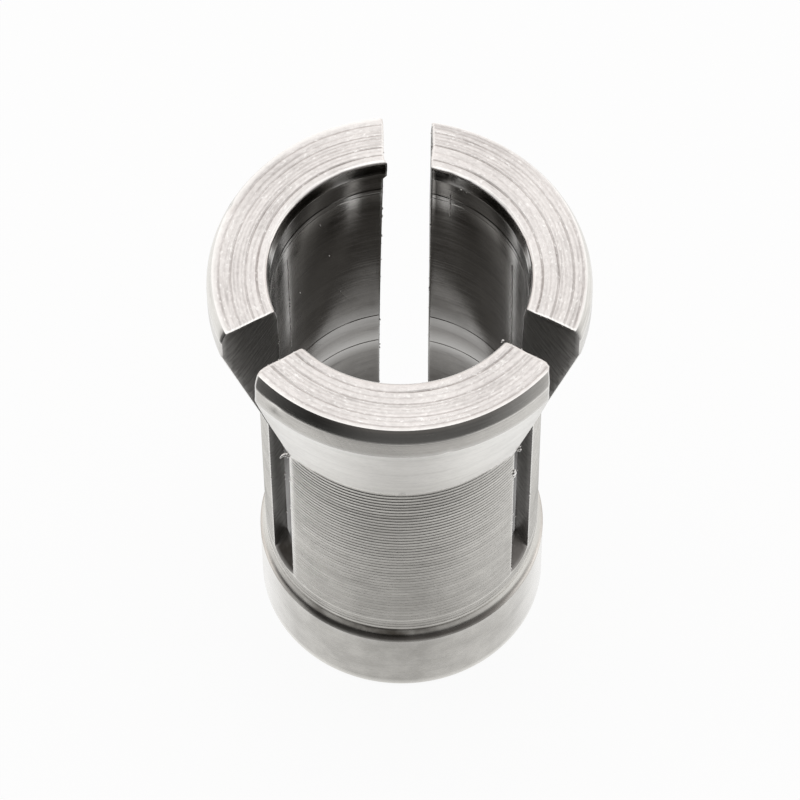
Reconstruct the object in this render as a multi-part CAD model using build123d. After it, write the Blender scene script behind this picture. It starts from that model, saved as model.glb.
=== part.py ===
from build123d import *
import os
from math import cos, radians, sin, sqrt, tan

# Straight grinder collet: one steel piece, turned on a common axis and then slotted into three jaws.
# The origin is the centre of the base, and +Z runs up the axis to the face that the shank enters.
# All sizes are in millimetres and degrees.

# Sizes across the axis: the wall and the steps are measured from the bore outwards, on the radius
bore_diameter = 8.0
head_diameter = 12.0
body_wall = 0.55
guide_step = 0.2
mouth_flare = 0.09

# Lengths along the axis
total_length = 18.2
guide_height = 3.05
slot_foot = 0.52
corner_depth = 0.5
land_length = 0.78
mouth_depth = 0.5

# Turned forms
cone_half_angle = 17.25
corner_radius = 0.75
shoulder_radius = 0.8
rim_break_width = 0.11
rim_break_depth = 0.06
base_outer_chamfer = 0.2
base_bore_chamfer = 0.2

# Slots, sawn down from the face by a disc that stops inside the bore
slot_count = 3
slot_width = 1.45
first_slot_angle = 90.0
saw_diameter = 40.0
saw_reach_radius = 0.5
saw_clearance = 1.0

# Radii that follow from the sizes above
bore_radius = bore_diameter / 2
mouth_radius = bore_radius + mouth_flare
body_radius = bore_radius + body_wall
guide_radius = body_radius + guide_step
head_radius = head_diameter / 2

# The face cuts the corner's arc short, so the two meet at an edge.
face_radius = head_radius - corner_radius + sqrt(corner_radius**2 - corner_depth**2)

# The shoulder is the hollow that the tool's nose left. It runs out of the body and stops at the guide ring.
shoulder_top = guide_height + sqrt(shoulder_radius**2 - (shoulder_radius - guide_step) ** 2)
slot_end_height = shoulder_top + slot_foot

# Corners that the outer wall and the bore's wall share
base_edge = (guide_radius - base_outer_chamfer, 0)
face_edge = (face_radius, total_length)


def outer_wall():
    """Outside of the turned blank, from the base's chamfer up to the rounded corner at the face."""
    land_top = total_length - corner_depth
    land_bottom = land_top - land_length
    cone_bottom = land_bottom - (head_radius - body_radius) / tan(radians(cone_half_angle))

    guide_top = (guide_radius, guide_height)
    guide = Polyline(base_edge, (guide_radius, base_outer_chamfer), guide_top)
    shoulder = TangentArc((body_radius, shoulder_top), guide_top, tangent=(0, -1))
    head = Polyline(
        (body_radius, shoulder_top),
        (body_radius, cone_bottom),
        (head_radius, land_bottom),
        (head_radius, land_top),
    )
    corner = TangentArc((head_radius, land_top), face_edge, tangent=(0, 1))
    return guide + shoulder + head + corner


def bore_wall():
    """Face, mouth and straight bore, from the corner's edge down to the base."""
    return Polyline(
        face_edge,
        (mouth_radius + rim_break_width, total_length),
        (mouth_radius, total_length - rim_break_depth),
        (bore_radius, total_length - mouth_depth),
        (bore_radius, base_bore_chamfer),
        (bore_radius + base_bore_chamfer, 0),
        base_edge,
    )


def turned_blank():
    """The collet as it leaves the lathe: both walls closed into one section and turned about the axis."""
    section = make_face(outer_wall() + bore_wall())
    return revolve(Plane.XZ * section, Axis.Z)


def saw_cut(angle):
    """All that the saw removes for the slot at this angle: its disc, and the way that it came down from the face.

    The slot's end is part of the disc's rim, so it slopes down from the bore to the outside of the body.
    """
    saw_radius = saw_diameter / 2
    saw_axis_radius = saw_reach_radius + saw_radius
    saw_axis_height = slot_end_height + sqrt(saw_radius**2 - (saw_axis_radius - body_radius) ** 2)
    outside = head_radius + saw_clearance
    above = max(total_length, saw_axis_height) + saw_clearance
    rim_end_height = saw_axis_height - sqrt(saw_radius**2 - (saw_axis_radius - outside) ** 2)

    rim = TangentArc((saw_reach_radius, saw_axis_height), (outside, rim_end_height), tangent=(0, -1))
    sides = Polyline(
        (outside, rim_end_height),
        (outside, above),
        (saw_reach_radius, above),
        (saw_reach_radius, saw_axis_height),
    )
    along = (cos(radians(angle)), sin(radians(angle)), 0)
    across = (sin(radians(angle)), -cos(radians(angle)), 0)
    plane = Plane(origin=(0, 0, 0), x_dir=along, z_dir=across)
    return extrude(plane * make_face(rim + sides), amount=slot_width / 2, both=True)


def slotted_collet():
    """The turned blank with its evenly spaced slots, still one piece through the ring under them."""
    collet = turned_blank()
    for index in range(slot_count):
        collet -= saw_cut(first_slot_angle + index * 360 / slot_count)
    return collet


os.makedirs("parts", exist_ok=True)
collet = slotted_collet()
collet.label = "collet"
export_step(collet, "parts/collet.step")
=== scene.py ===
"""Looks of a straight grinder collet.

It is a turned steel sleeve with a coned head, sawn into three springy jaws.
"""

import logging
import math
import random
from dataclasses import dataclass, field, replace
from enum import Enum
from typing import Optional, Sequence

import bpy
import numpy as np
from mathutils import Matrix, Vector, geometry


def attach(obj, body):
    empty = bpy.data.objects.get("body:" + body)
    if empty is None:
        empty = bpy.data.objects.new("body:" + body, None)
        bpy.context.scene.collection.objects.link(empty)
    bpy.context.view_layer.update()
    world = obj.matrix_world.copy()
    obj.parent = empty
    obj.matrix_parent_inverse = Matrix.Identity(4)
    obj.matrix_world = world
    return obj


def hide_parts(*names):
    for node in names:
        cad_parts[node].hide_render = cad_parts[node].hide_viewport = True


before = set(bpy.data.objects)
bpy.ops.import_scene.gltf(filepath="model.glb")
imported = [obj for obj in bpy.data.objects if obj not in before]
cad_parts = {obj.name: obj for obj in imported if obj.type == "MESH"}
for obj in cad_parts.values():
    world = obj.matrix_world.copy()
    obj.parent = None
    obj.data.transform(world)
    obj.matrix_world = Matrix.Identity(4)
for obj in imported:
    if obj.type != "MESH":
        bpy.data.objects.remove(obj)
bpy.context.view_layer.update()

logging.basicConfig(level=logging.INFO, format="%(message)s")
LOG = logging.getLogger("collet")

MM = 0.001

Socket = bpy.types.NodeSocket


class Surface(Enum):
    """Faces of the collet that a machinist would name."""

    BODY = "body"
    CONE = "cone"
    LAND = "land"
    CORNER = "corner"
    FACE = "face"
    RIM = "rim"
    MOUTH = "mouth"
    LEAD_IN = "lead_in"
    BORE = "bore"
    BASE = "base"
    GUIDE = "guide"
    SHOULDER = "shoulder"


class Finish(Enum):
    """How a surface was left by the tool that cut it. The value is its material's index."""

    TURNED = 0
    FACED = 1
    POLISHED = 2
    BORED = 3
    SAWN = 4
    CONED = 5
    ROUNDED = 6


FINISH_OF: dict[Surface, Finish] = {
    Surface.BODY: Finish.TURNED,
    Surface.SHOULDER: Finish.TURNED,
    Surface.GUIDE: Finish.TURNED,
    Surface.BASE: Finish.TURNED,
    Surface.CONE: Finish.CONED,
    Surface.LAND: Finish.POLISHED,
    Surface.CORNER: Finish.ROUNDED,
    Surface.FACE: Finish.FACED,
    Surface.RIM: Finish.FACED,
    Surface.MOUTH: Finish.BORED,
    Surface.LEAD_IN: Finish.BORED,
    Surface.BORE: Finish.BORED,
}


# Node helpers


def enabled(sockets: Sequence[Socket]) -> dict[str, Socket]:
    """A node's sockets that are in use, by name."""
    return {socket.name: socket for socket in sockets if socket.enabled}


def add_object(name: str, data: bpy.types.ID) -> bpy.types.Object:
    """A new object in the scene, for a mesh, a camera or a lamp.

    Args:
        name: the object's name.
        data: its mesh, camera or lamp.

    Returns:
        The object.
    """
    made = bpy.data.objects.new(name, data)
    bpy.context.scene.collection.objects.link(made)
    return made


class Graph:
    """Short calls for the nodes of one tree, so that a formula reads as a formula."""

    def __init__(self, tree: bpy.types.NodeTree) -> None:
        """Wraps a node tree.

        Args:
            tree: the shader or geometry tree that the nodes go into.
        """
        self.tree = tree

    def node(self, kind: str, **settings: object) -> bpy.types.Node:
        """Adds a node.

        Args:
            kind: the node's type name.
            **settings: properties of the node.

        Returns:
            The new node.
        """
        made = self.tree.nodes.new(kind)
        for name, value in settings.items():
            setattr(made, name, value)
        return made

    def feed(self, socket: Socket, value: object) -> None:
        """Links a socket to an output, or sets its value.

        Args:
            socket: the input to fill.
            value: an output socket, or a plain value.
        """
        if isinstance(value, Socket):
            self.tree.links.new(value, socket)
        elif value is not None:
            socket.default_value = value

    def math(self, operation: str, a: object, b: object = None, clamp: bool = False) -> Socket:
        """A Math node.

        Args:
            operation: its operation, such as MULTIPLY.
            a: the first value.
            b: the second value, where the operation has one.
            clamp: whether the result is kept from 0 to 1.

        Returns:
            The result.
        """
        made = self.node("ShaderNodeMath", operation=operation, use_clamp=clamp)
        self.feed(made.inputs[0], a)
        self.feed(made.inputs[1], b)
        return made.outputs[0]

    def plus(self, a: object, b: object, clamp: bool = False) -> Socket:
        """The sum of two values."""
        return self.math("ADD", a, b, clamp)

    def minus(self, a: object, b: object) -> Socket:
        """The first value without the second."""
        return self.math("SUBTRACT", a, b)

    def times(self, a: object, b: object) -> Socket:
        """The product of two values."""
        return self.math("MULTIPLY", a, b)

    def from_axis(self, x: object, y: object) -> Socket:
        """Distance from the axis."""
        return self.math("SQRT", self.plus(self.times(x, x), self.times(y, y)))

    def join(self, x: object, y: object, z: object) -> Socket:
        """A vector from its three numbers.

        Args:
            x: the first number.
            y: the second.
            z: the third.

        Returns:
            The vector.
        """
        made = self.node("ShaderNodeCombineXYZ")
        for socket, value in zip(made.inputs, (x, y, z)):
            self.feed(socket, value)
        return made.outputs[0]

    def split(self, vector: object) -> tuple[Socket, ...]:
        """The three numbers of a vector.

        Args:
            vector: the vector.

        Returns:
            The numbers.
        """
        made = self.node("ShaderNodeSeparateXYZ")
        self.feed(made.inputs[0], vector)
        return tuple(made.outputs)

    def remap(
        self, value: object, low: float, high: float, to_low: float = 0.0, to_high: float = 1.0
    ) -> Socket:
        """A smooth step from one range to another.

        Args:
            value: the value to remap.
            low: where the step starts.
            high: where the step ends.
            to_low: the result at and below low.
            to_high: the result at and above high.

        Returns:
            The remapped value.
        """
        made = self.node("ShaderNodeMapRange", interpolation_type="SMOOTHSTEP")
        for socket, given in zip(made.inputs, (value, low, high, to_low, to_high)):
            self.feed(socket, given)
        return made.outputs[0]

    def noise(
        self, vector: object, w: object, scale: object, detail: float = 2.0, roughness: float = 0.5
    ) -> Socket:
        """Four-dimensional noise, centred near 0.5.

        Args:
            vector: where to sample.
            w: the fourth number, which can also stand for a seed.
            scale: how fine the noise is.
            detail: how many finer layers it has.
            roughness: how strong the finer layers are.

        Returns:
            The noise's value.
        """
        made = self.node("ShaderNodeTexNoise", noise_dimensions="4D")
        values = {"Vector": vector, "W": w, "Scale": scale, "Detail": detail, "Roughness": roughness}
        for name, given in values.items():
            self.feed(made.inputs[name], given)
        return made.outputs[0]

    def attribute(self, name: str, kind: str) -> Socket:
        """A named attribute of the mesh, in a geometry tree.

        Args:
            name: the attribute's name.
            kind: its data type.

        Returns:
            Its value.
        """
        made = self.node("GeometryNodeInputNamedAttribute", data_type=kind)
        made.inputs["Name"].default_value = name
        return enabled(made.outputs)["Attribute"]

    def step(self, kind: str, flow: Socket, **inputs: object) -> Socket:
        """A geometry node that changes what flows through it.

        Args:
            kind: the node's type name.
            flow: the geometry that comes in.
            **inputs: its other inputs.

        Returns:
            The geometry that goes out.
        """
        made = self.node(kind)
        for name, value in {"Geometry": flow, **inputs}.items():
            self.feed(made.inputs[name], value)
        return made.outputs["Geometry"]

    def blend(self, share: object, one: object, two: object) -> Socket:
        """A mix of two colours, each an output or three numbers.

        Args:
            share: the second colour's share.
            one: the first colour.
            two: the second.

        Returns:
            The mixed colour.
        """
        mix = self.node("ShaderNodeMix", data_type="RGBA", blend_type="MIX")
        sides = enabled(mix.inputs)
        self.feed(sides["Factor"], share)
        for title, given in (("A", one), ("B", two)):
            self.feed(sides[title], (*given, 1.0) if isinstance(given, tuple) else given)
        return enabled(mix.outputs)["Result"]

    def mix_shaders(self, share: object, one: bpy.types.Node, two: bpy.types.Node) -> Socket:
        """A mix of the shaders that two nodes give.

        Args:
            share: the second shader's share.
            one: the first shader's node.
            two: the second's.

        Returns:
            The mixed shader.
        """
        mix = self.node("ShaderNodeMixShader")
        for socket, given in zip(mix.inputs, (share, one.outputs[0], two.outputs[0])):
            self.feed(socket, given)
        return mix.outputs[0]


# A started tree: its graph, its inputs by name, and its output node
Started = tuple[Graph, dict[str, Socket], bpy.types.Node]


def new_group(name: str, inputs: dict[str, float], outputs: Sequence[str]) -> Started:
    """Starts a shader node group with named sockets.

    Args:
        name: the group's name.
        inputs: each input's name and its default.
        outputs: the outputs' names.

    Returns:
        The group's graph, its inputs as sockets by name, and its output node.
    """
    tree = bpy.data.node_groups.new(name, "ShaderNodeTree")
    for title, default in inputs.items():
        socket = tree.interface.new_socket(title, in_out="INPUT", socket_type="NodeSocketFloat")
        socket.default_value = default
    for title in outputs:
        tree.interface.new_socket(title, in_out="OUTPUT", socket_type="NodeSocketFloat")
    graph = Graph(tree)
    entry = graph.node("NodeGroupInput")
    end = graph.node("NodeGroupOutput")
    return graph, {socket.name: socket for socket in entry.outputs if socket.name}, end


def new_geometry_tree(name: str, numbers: Sequence[str]) -> Started:
    """Starts a geometry tree that takes a mesh, some numbers and a seed, and gives a mesh.

    Args:
        name: the tree's name.
        numbers: the names of its number inputs.

    Returns:
        The tree's graph, its inputs as sockets by name, and its output node.
    """
    tree = bpy.data.node_groups.new(name, "GeometryNodeTree")
    tree.interface.new_socket("Geometry", in_out="INPUT", socket_type="NodeSocketGeometry")
    for title in numbers:
        tree.interface.new_socket(title, in_out="INPUT", socket_type="NodeSocketFloat")
    tree.interface.new_socket("Seed", in_out="INPUT", socket_type="NodeSocketInt")
    tree.interface.new_socket("Geometry", in_out="OUTPUT", socket_type="NodeSocketGeometry")
    graph = Graph(tree)
    entry = graph.node("NodeGroupInput")
    end = graph.node("NodeGroupOutput")
    return graph, {socket.name: socket for socket in entry.outputs if socket.name}, end


def bake_nodes(
    blank: bpy.types.Object,
    tree: bpy.types.GeometryNodeTree,
    values: dict[str, object],
    name: str,
    spent: Sequence[str],
) -> bpy.types.Object:
    """Runs a geometry tree on an object and keeps the result as a plain mesh, with no modifier left.

    Args:
        blank: the object that the tree starts from, which is removed.
        tree: the geometry tree.
        values: the tree's inputs, by name.
        name: the new object's name.
        spent: attributes that nothing needs afterwards.

    Returns:
        The new object.
    """
    modifier = blank.modifiers.new(tree.name, "NODES")
    modifier.node_group = tree
    for item in tree.interface.items_tree:
        if item.in_out == "INPUT" and item.name in values:
            modifier[item.identifier] = values[item.name]
    blank.update_tag()
    bpy.context.view_layer.update()
    seen = bpy.context.evaluated_depsgraph_get()
    result = blank.evaluated_get(seen)
    mesh = bpy.data.meshes.new_from_object(result, preserve_all_data_layers=True, depsgraph=seen)
    for title in spent:
        held = mesh.attributes.get(title)
        if held:
            mesh.attributes.remove(held)
    while mesh.materials and mesh.materials[0] is None:
        mesh.materials.pop(index=0)
    mesh.name = name
    made = add_object(name, mesh)
    bpy.data.objects.remove(blank)
    return made


# Sizes

# Every feed mark has a number, so that each gets a depth of its own. The body's grooves are numbered from 0.
FACE_MARKS = 100
LEAD_IN_MARKS = 200
WITNESS_MARKS = 300

# A facing ring's section: places across it in half widths, and how deep it is there
RING_PROFILE: tuple[tuple[float, float], ...] = (
    (1.4, 0.0),
    (0.6, 0.55),
    (0.0, 1.0),
    (-0.6, 0.55),
    (-1.4, 0.0),
)


def kept(value: float) -> float:
    """The value, kept from 0 to 1."""
    return min(1.0, max(0.0, value))


def hollow(share: float) -> float:
    """Depth of a round groove at a share of its width: 0 at its edges and 1 in its middle."""
    return 4 * share * (1 - share)


@dataclass(frozen=True)
class Station:
    """One corner or point of the collet's section, in millimetres."""

    radius: float
    height: float
    surface: Surface
    crisp: bool = False
    scallop: float = 0.0
    groove: int = 0
    drift: float = 0.0
    # How much painted shade darkens this station, from 0 to 1
    painted_shade: float = 0.0


@dataclass(frozen=True)
class FacingRing:
    """A ring of the facing tool: its radius at the back slot, its drift in a turn, its share of the depth."""

    radius: float
    drift: float
    share: float


@dataclass(frozen=True)
class SlotWall:
    """Where a slot's wall stands, measured from the plane through the axis along the slot."""

    bearing: float
    at_foot: float
    at_face: float
    corner_wear: float = 0.06
    lip: float = 0.0
    strip: float = 0.08
    rolled: float = 0.0


@dataclass(frozen=True)
class Jaw:
    """One of the three jaws, from its clockwise slot to the next, with how far it has sprung at the face."""

    name: str
    start: SlotWall
    end: SlotWall
    spring: tuple[float, float]


@dataclass
class TurnedSection:
    """The collet's section: up the outside, over the face, down the bore and round the base."""

    bore_radius: float = 4.0
    lead_in_step: float = 0.012
    rim_outer_radius: float = 4.225
    rim_inner_radius: float = 4.085
    rim_depth: float = 0.1
    mouth_depth: float = 0.5
    lead_in_depth: float = 1.3
    head_radius: float = 5.985
    body_radius: float = 4.55
    guide_radius: float = 4.75
    total_length: float = 18.2
    corner_radius: float = 1.0
    corner_depth: float = 0.57
    land_length: float = 0.71
    cone_half_angle: float = 17.25
    guide_height: float = 3.05
    shoulder_radius: float = 0.8
    base_chamfer: float = 0.2
    feed_grooves: int = 50
    grooves_under_slots: int = 3
    face_rings: tuple[FacingRing, ...] = (
        FacingRing(5.56, 0.17, 0.55),
        FacingRing(5.33, 0.30, 0.3),
        FacingRing(5.15, 0.32, 0.65),
        FacingRing(5.035, 0.31, 0.3),
        FacingRing(4.92, 0.30, 0.35),
        FacingRing(4.80, 0.305, 0.4),
        FacingRing(4.69, 0.31, 0.8),
        FacingRing(4.56, 0.16, 0.35),
        FacingRing(4.41, 0.02, 1.0),
    )
    ring_half_width: float = 0.032
    slot_foot_rise: float = 0.69
    witness_depths: tuple[float, ...] = (1.52, 8.6, 10.1)
    # Painted shade in the bore: down to each witness line, lower down, and in the lead-in and at its end
    bore_painted_shades: tuple[float, ...] = (0.45, 0.45, 0.0)
    lower_bore_painted_shade: float = 0.66
    lead_in_rings: int = 8
    lead_in_mark: float = 0.1
    lead_in_painted_shade: float = 0.5
    lead_in_end: float = 0.03
    lead_in_end_painted_shade: float = 0.52
    witness_half_width: float = 0.035
    bore_row_height: float = 0.7
    nose_radius: float = 0.5
    # Painted shade in the shoulder's hollow: its first share, its step per station, and its most
    shoulder_painted_shades: tuple[float, float, float] = (0.46, 0.1, 0.87)
    # Painted shade on the guide ring
    guide_painted_shade: float = 0.39
    # Painted shade on the body, growing downwards, and a painted dark line along each groove's crest
    body_painted_shade: float = 0.31
    crest_painted_shade: float = 0.35

    @property
    def shoulder_top(self) -> float:
        """Height at which the body runs out into the hollow shoulder."""
        step = self.guide_radius - self.body_radius
        return self.guide_height + math.sqrt(self.shoulder_radius**2 - (self.shoulder_radius - step) ** 2)

    @property
    def land_bottom(self) -> float:
        """Height at which the cone meets the land."""
        return self.total_length - self.corner_depth - self.land_length

    @property
    def cone_bottom(self) -> float:
        """Height at which the body meets the cone."""
        step = self.head_radius - self.body_radius
        return self.land_bottom - step / math.tan(math.radians(self.cone_half_angle))

    @property
    def pitch(self) -> float:
        """Feed per turn that left the body's grooves."""
        return (self.cone_bottom - self.shoulder_top) / self.feed_grooves

    @property
    def slot_foot(self) -> float:
        """Height of the slots' lower end on the outside of the body."""
        return self.shoulder_top + self.grooves_under_slots * self.pitch

    @property
    def slot_foot_bore(self) -> float:
        """Height of the slots' lower end in the bore."""
        return self.slot_foot + self.slot_foot_rise

    def _grooves(self, first: int, last: int) -> list[Station]:
        """Feed grooves on the body, each with a sharp crest above it, under painted shade that grows
        downwards and with a painted dark line along each crest.

        Args:
            first: the crest that the run starts above.
            last: the crest that it ends at.

        Returns:
            The stations, without the first crest.
        """
        made = []
        for groove in range(first, last):
            for share in (0.2, 0.5, 0.8, 1.0):
                height = self.shoulder_top + (groove + share) * self.pitch
                depth = hollow(share)
                lower = 1 - (groove + share) / self.feed_grooves
                crest = share == 1.0
                # Painted shade: darker towards the bottom, with a dark line at each crest
                painted_shade = self.body_painted_shade * lower + (self.crest_painted_shade if crest else 0.0)
                made.append(Station(self.body_radius, height, Surface.BODY, crest, depth, groove, painted_shade=painted_shade))
        return made

    def _run(
        self, start: Station, end: tuple[float, float], surface: Surface, parts: int, crisp_end: bool
    ) -> list[Station]:
        """A straight run in equal parts, without its start.

        Args:
            start: the station that it leaves from.
            end: radius and height that it goes to.
            surface: the surface that it lies on.
            parts: how many parts it has.
            crisp_end: whether it ends at a sharp edge.

        Returns:
            Its stations.
        """
        return [
            Station(
                start.radius + (end[0] - start.radius) * part / parts,
                start.height + (end[1] - start.height) * part / parts,
                surface,
                crisp_end and part == parts,
            )
            for part in range(1, parts + 1)
        ]

    def _corner(self) -> list[Station]:
        """The head's rounded corner, cut short by the face.

        Returns:
            Its stations, without the first.
        """
        top = self.total_length - self.corner_depth
        sweep = math.asin(self.corner_depth / self.corner_radius)
        middle = self.head_radius - self.corner_radius
        made = []
        for part in range(1, 9):
            angle = sweep * part / 8
            radius = middle + self.corner_radius * math.cos(angle)
            height = top + self.corner_radius * math.sin(angle)
            made.append(Station(radius, height, Surface.CORNER, part == 8))
        return made

    def _face(self, edge: Station) -> list[Station]:
        """The flat face with the rings of the facing cut, and the rounded rim of the mouth.

        Args:
            edge: the station where the corner ends; not used.

        Returns:
            The stations inwards from there.
        """
        made = []
        for number, ring in enumerate(self.face_rings):
            mark = FACE_MARKS + number
            for side, share in RING_PROFILE:
                radius = ring.radius + side * self.ring_half_width
                depth = share * ring.share
                crisp = abs(side) > 1
                made.append(Station(radius, self.total_length, Surface.FACE, crisp, depth, mark, ring.drift))
        made.append(Station(self.rim_outer_radius, self.total_length, Surface.FACE, False))
        across = self.rim_outer_radius - self.rim_inner_radius
        for part in range(1, 5):
            angle = math.radians(90 * part / 4)
            radius = self.rim_outer_radius - across * math.sin(angle)
            height = self.total_length - self.rim_depth * (1 - math.cos(angle))
            made.append(Station(radius, height, Surface.RIM, part == 4))
        return made

    def _bore(self) -> list[Station]:
        """The mouth, the lead-in with its fine rings, and the bore with the witness lines of earlier cuts.

        Returns:
            The stations down to the slots' end.
        """
        top = self.total_length
        lead_in = self.bore_radius + self.lead_in_step
        rim = Station(self.rim_inner_radius, top - self.rim_depth, Surface.RIM)
        made = self._run(rim, (lead_in, top - self.mouth_depth), Surface.MOUTH, 3, True)
        length = (self.lead_in_depth - self.mouth_depth) / self.lead_in_rings
        for ring in range(self.lead_in_rings):
            mark = LEAD_IN_MARKS + ring
            for share in (0.35, 0.7, 1.0):
                height = top - self.mouth_depth - (ring + share) * length
                depth = self.lead_in_mark * hollow(share)
                # Painted shade in the lead-in
                painted_shade = self.lead_in_painted_shade
                made.append(Station(lead_in, height, Surface.LEAD_IN, False, depth, mark, painted_shade=painted_shade))
        height = top - self.lead_in_depth - self.lead_in_end
        made.append(Station(self.bore_radius, height, Surface.LEAD_IN, True, painted_shade=self.lead_in_end_painted_shade))
        half = self.witness_half_width
        for index, below in enumerate(self.witness_depths):
            line = top - below
            # Painted shade in the bore, thinner at each witness line's lower edge
            painted_shade = self.bore_painted_shades[index]
            depth = 0.8 if index else 0.3
            parts = max(1, round((made[-1].height - line) / self.bore_row_height))
            run = self._run(made[-1], (self.bore_radius, line + half), Surface.BORE, parts, True)
            made += [replace(station, painted_shade=painted_shade) for station in run]
            mark = WITNESS_MARKS + index
            made.append(Station(self.bore_radius, line, Surface.BORE, False, depth, mark, painted_shade=painted_shade))
            made.append(Station(self.bore_radius, line - half, Surface.BORE, True, painted_shade=0.6 * painted_shade))
        lower = self._run(made[-1], (self.bore_radius, self.slot_foot_bore), Surface.BORE, 6, False)
        # Painted shade, growing downwards to the slots' end
        for part, station in enumerate(lower):
            made.append(replace(station, painted_shade=min(self.lower_bore_painted_shade, 0.1 + 0.2 * part)))
        return made

    def _shoulder(self) -> list[Station]:
        """The hollow that the tool's round nose left over the guide ring, a little deeper than the body.

        Returns:
            Its stations, without the first.
        """
        low = Vector((self.guide_radius, self.guide_height))
        high = Vector((self.body_radius, self.shoulder_top))
        run = high - low
        out = Vector((run.y, -run.x)).normalized()
        middle = (low + high) / 2 + out * math.sqrt(self.nose_radius**2 - (run.length / 2) ** 2)
        first = math.atan2(low.y - middle.y, low.x - middle.x) % (2 * math.pi)
        last = math.atan2(high.y - middle.y, high.x - middle.x) % (2 * math.pi)
        # Painted shade in the hollow, growing upwards to the body
        painted_shade, more, most = self.shoulder_painted_shades
        made = []
        for part in range(1, 13):
            angle = first + (last - first) * part / 12
            radius = middle.x + self.nose_radius * math.cos(angle)
            height = middle.y + self.nose_radius * math.sin(angle)
            here = min(most, painted_shade + more * part)
            made.append(Station(radius, height, Surface.SHOULDER, part == 12, painted_shade=here))
        return made

    def jaw_stations(self) -> list[Station]:
        """Section of a jaw, from the slots' end on the body to their end in the bore.

        Returns:
            Its stations.
        """
        made = [Station(self.body_radius, self.slot_foot, Surface.BODY, True)]
        made += self._grooves(self.grooves_under_slots, self.feed_grooves)
        made += self._run(made[-1], (self.head_radius, self.land_bottom), Surface.CONE, 12, True)
        land_top = self.total_length - self.corner_depth
        made += self._run(made[-1], (self.head_radius, land_top), Surface.LAND, 4, False)
        made += self._corner()
        made += self._face(made[-1])
        made += self._bore()
        return made

    def ring_stations(self) -> list[Station]:
        """Section of the unslotted ring, from the slots' end in the bore to their end on the body.

        Returns:
            Its stations, without the two ends.
        """
        start = Station(self.bore_radius, self.slot_foot_bore, Surface.BORE)
        made = self._run(start, (self.bore_radius, self.slot_foot_bore - 0.3), Surface.BORE, 1, False)
        made += self._run(made[-1], (self.bore_radius, self.base_chamfer), Surface.BORE, 7, True)
        # Painted shade in the ring's bore
        made = [replace(station, painted_shade=self.lower_bore_painted_shade) for station in made]
        made += self._run(made[-1], (self.bore_radius + self.base_chamfer, 0.0), Surface.BASE, 1, True)
        made += self._run(made[-1], (self.guide_radius - self.base_chamfer, 0.0), Surface.BASE, 3, True)
        made += self._run(made[-1], (self.guide_radius, self.base_chamfer), Surface.BASE, 1, True)
        guide = self._run(made[-1], (self.guide_radius, self.guide_height), Surface.GUIDE, 10, True)
        # Painted shade on the guide ring
        made += [replace(station, painted_shade=self.guide_painted_shade) for station in guide]
        made += self._shoulder()
        made += self._grooves(0, self.grooves_under_slots)
        return made[:-1]


# Mesh


@dataclass
class EdgeBreak:
    """How far a surface rolls off towards a slot's wall: the width of the roll, and its depth at the wall."""

    width: float
    depth: float


EDGE_BREAKS: dict[Surface, EdgeBreak] = {
    Surface.BODY: EdgeBreak(0.08, 0.03),
    Surface.CONE: EdgeBreak(0.12, 0.04),
    Surface.LAND: EdgeBreak(0.14, 0.05),
    Surface.CORNER: EdgeBreak(0.12, 0.045),
    Surface.FACE: EdgeBreak(0.08, 0.022),
    Surface.RIM: EdgeBreak(0.05, 0.02),
    Surface.MOUTH: EdgeBreak(0.05, 0.02),
    Surface.LEAD_IN: EdgeBreak(0.05, 0.02),
    Surface.BORE: EdgeBreak(0.06, 0.02),
}


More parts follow.
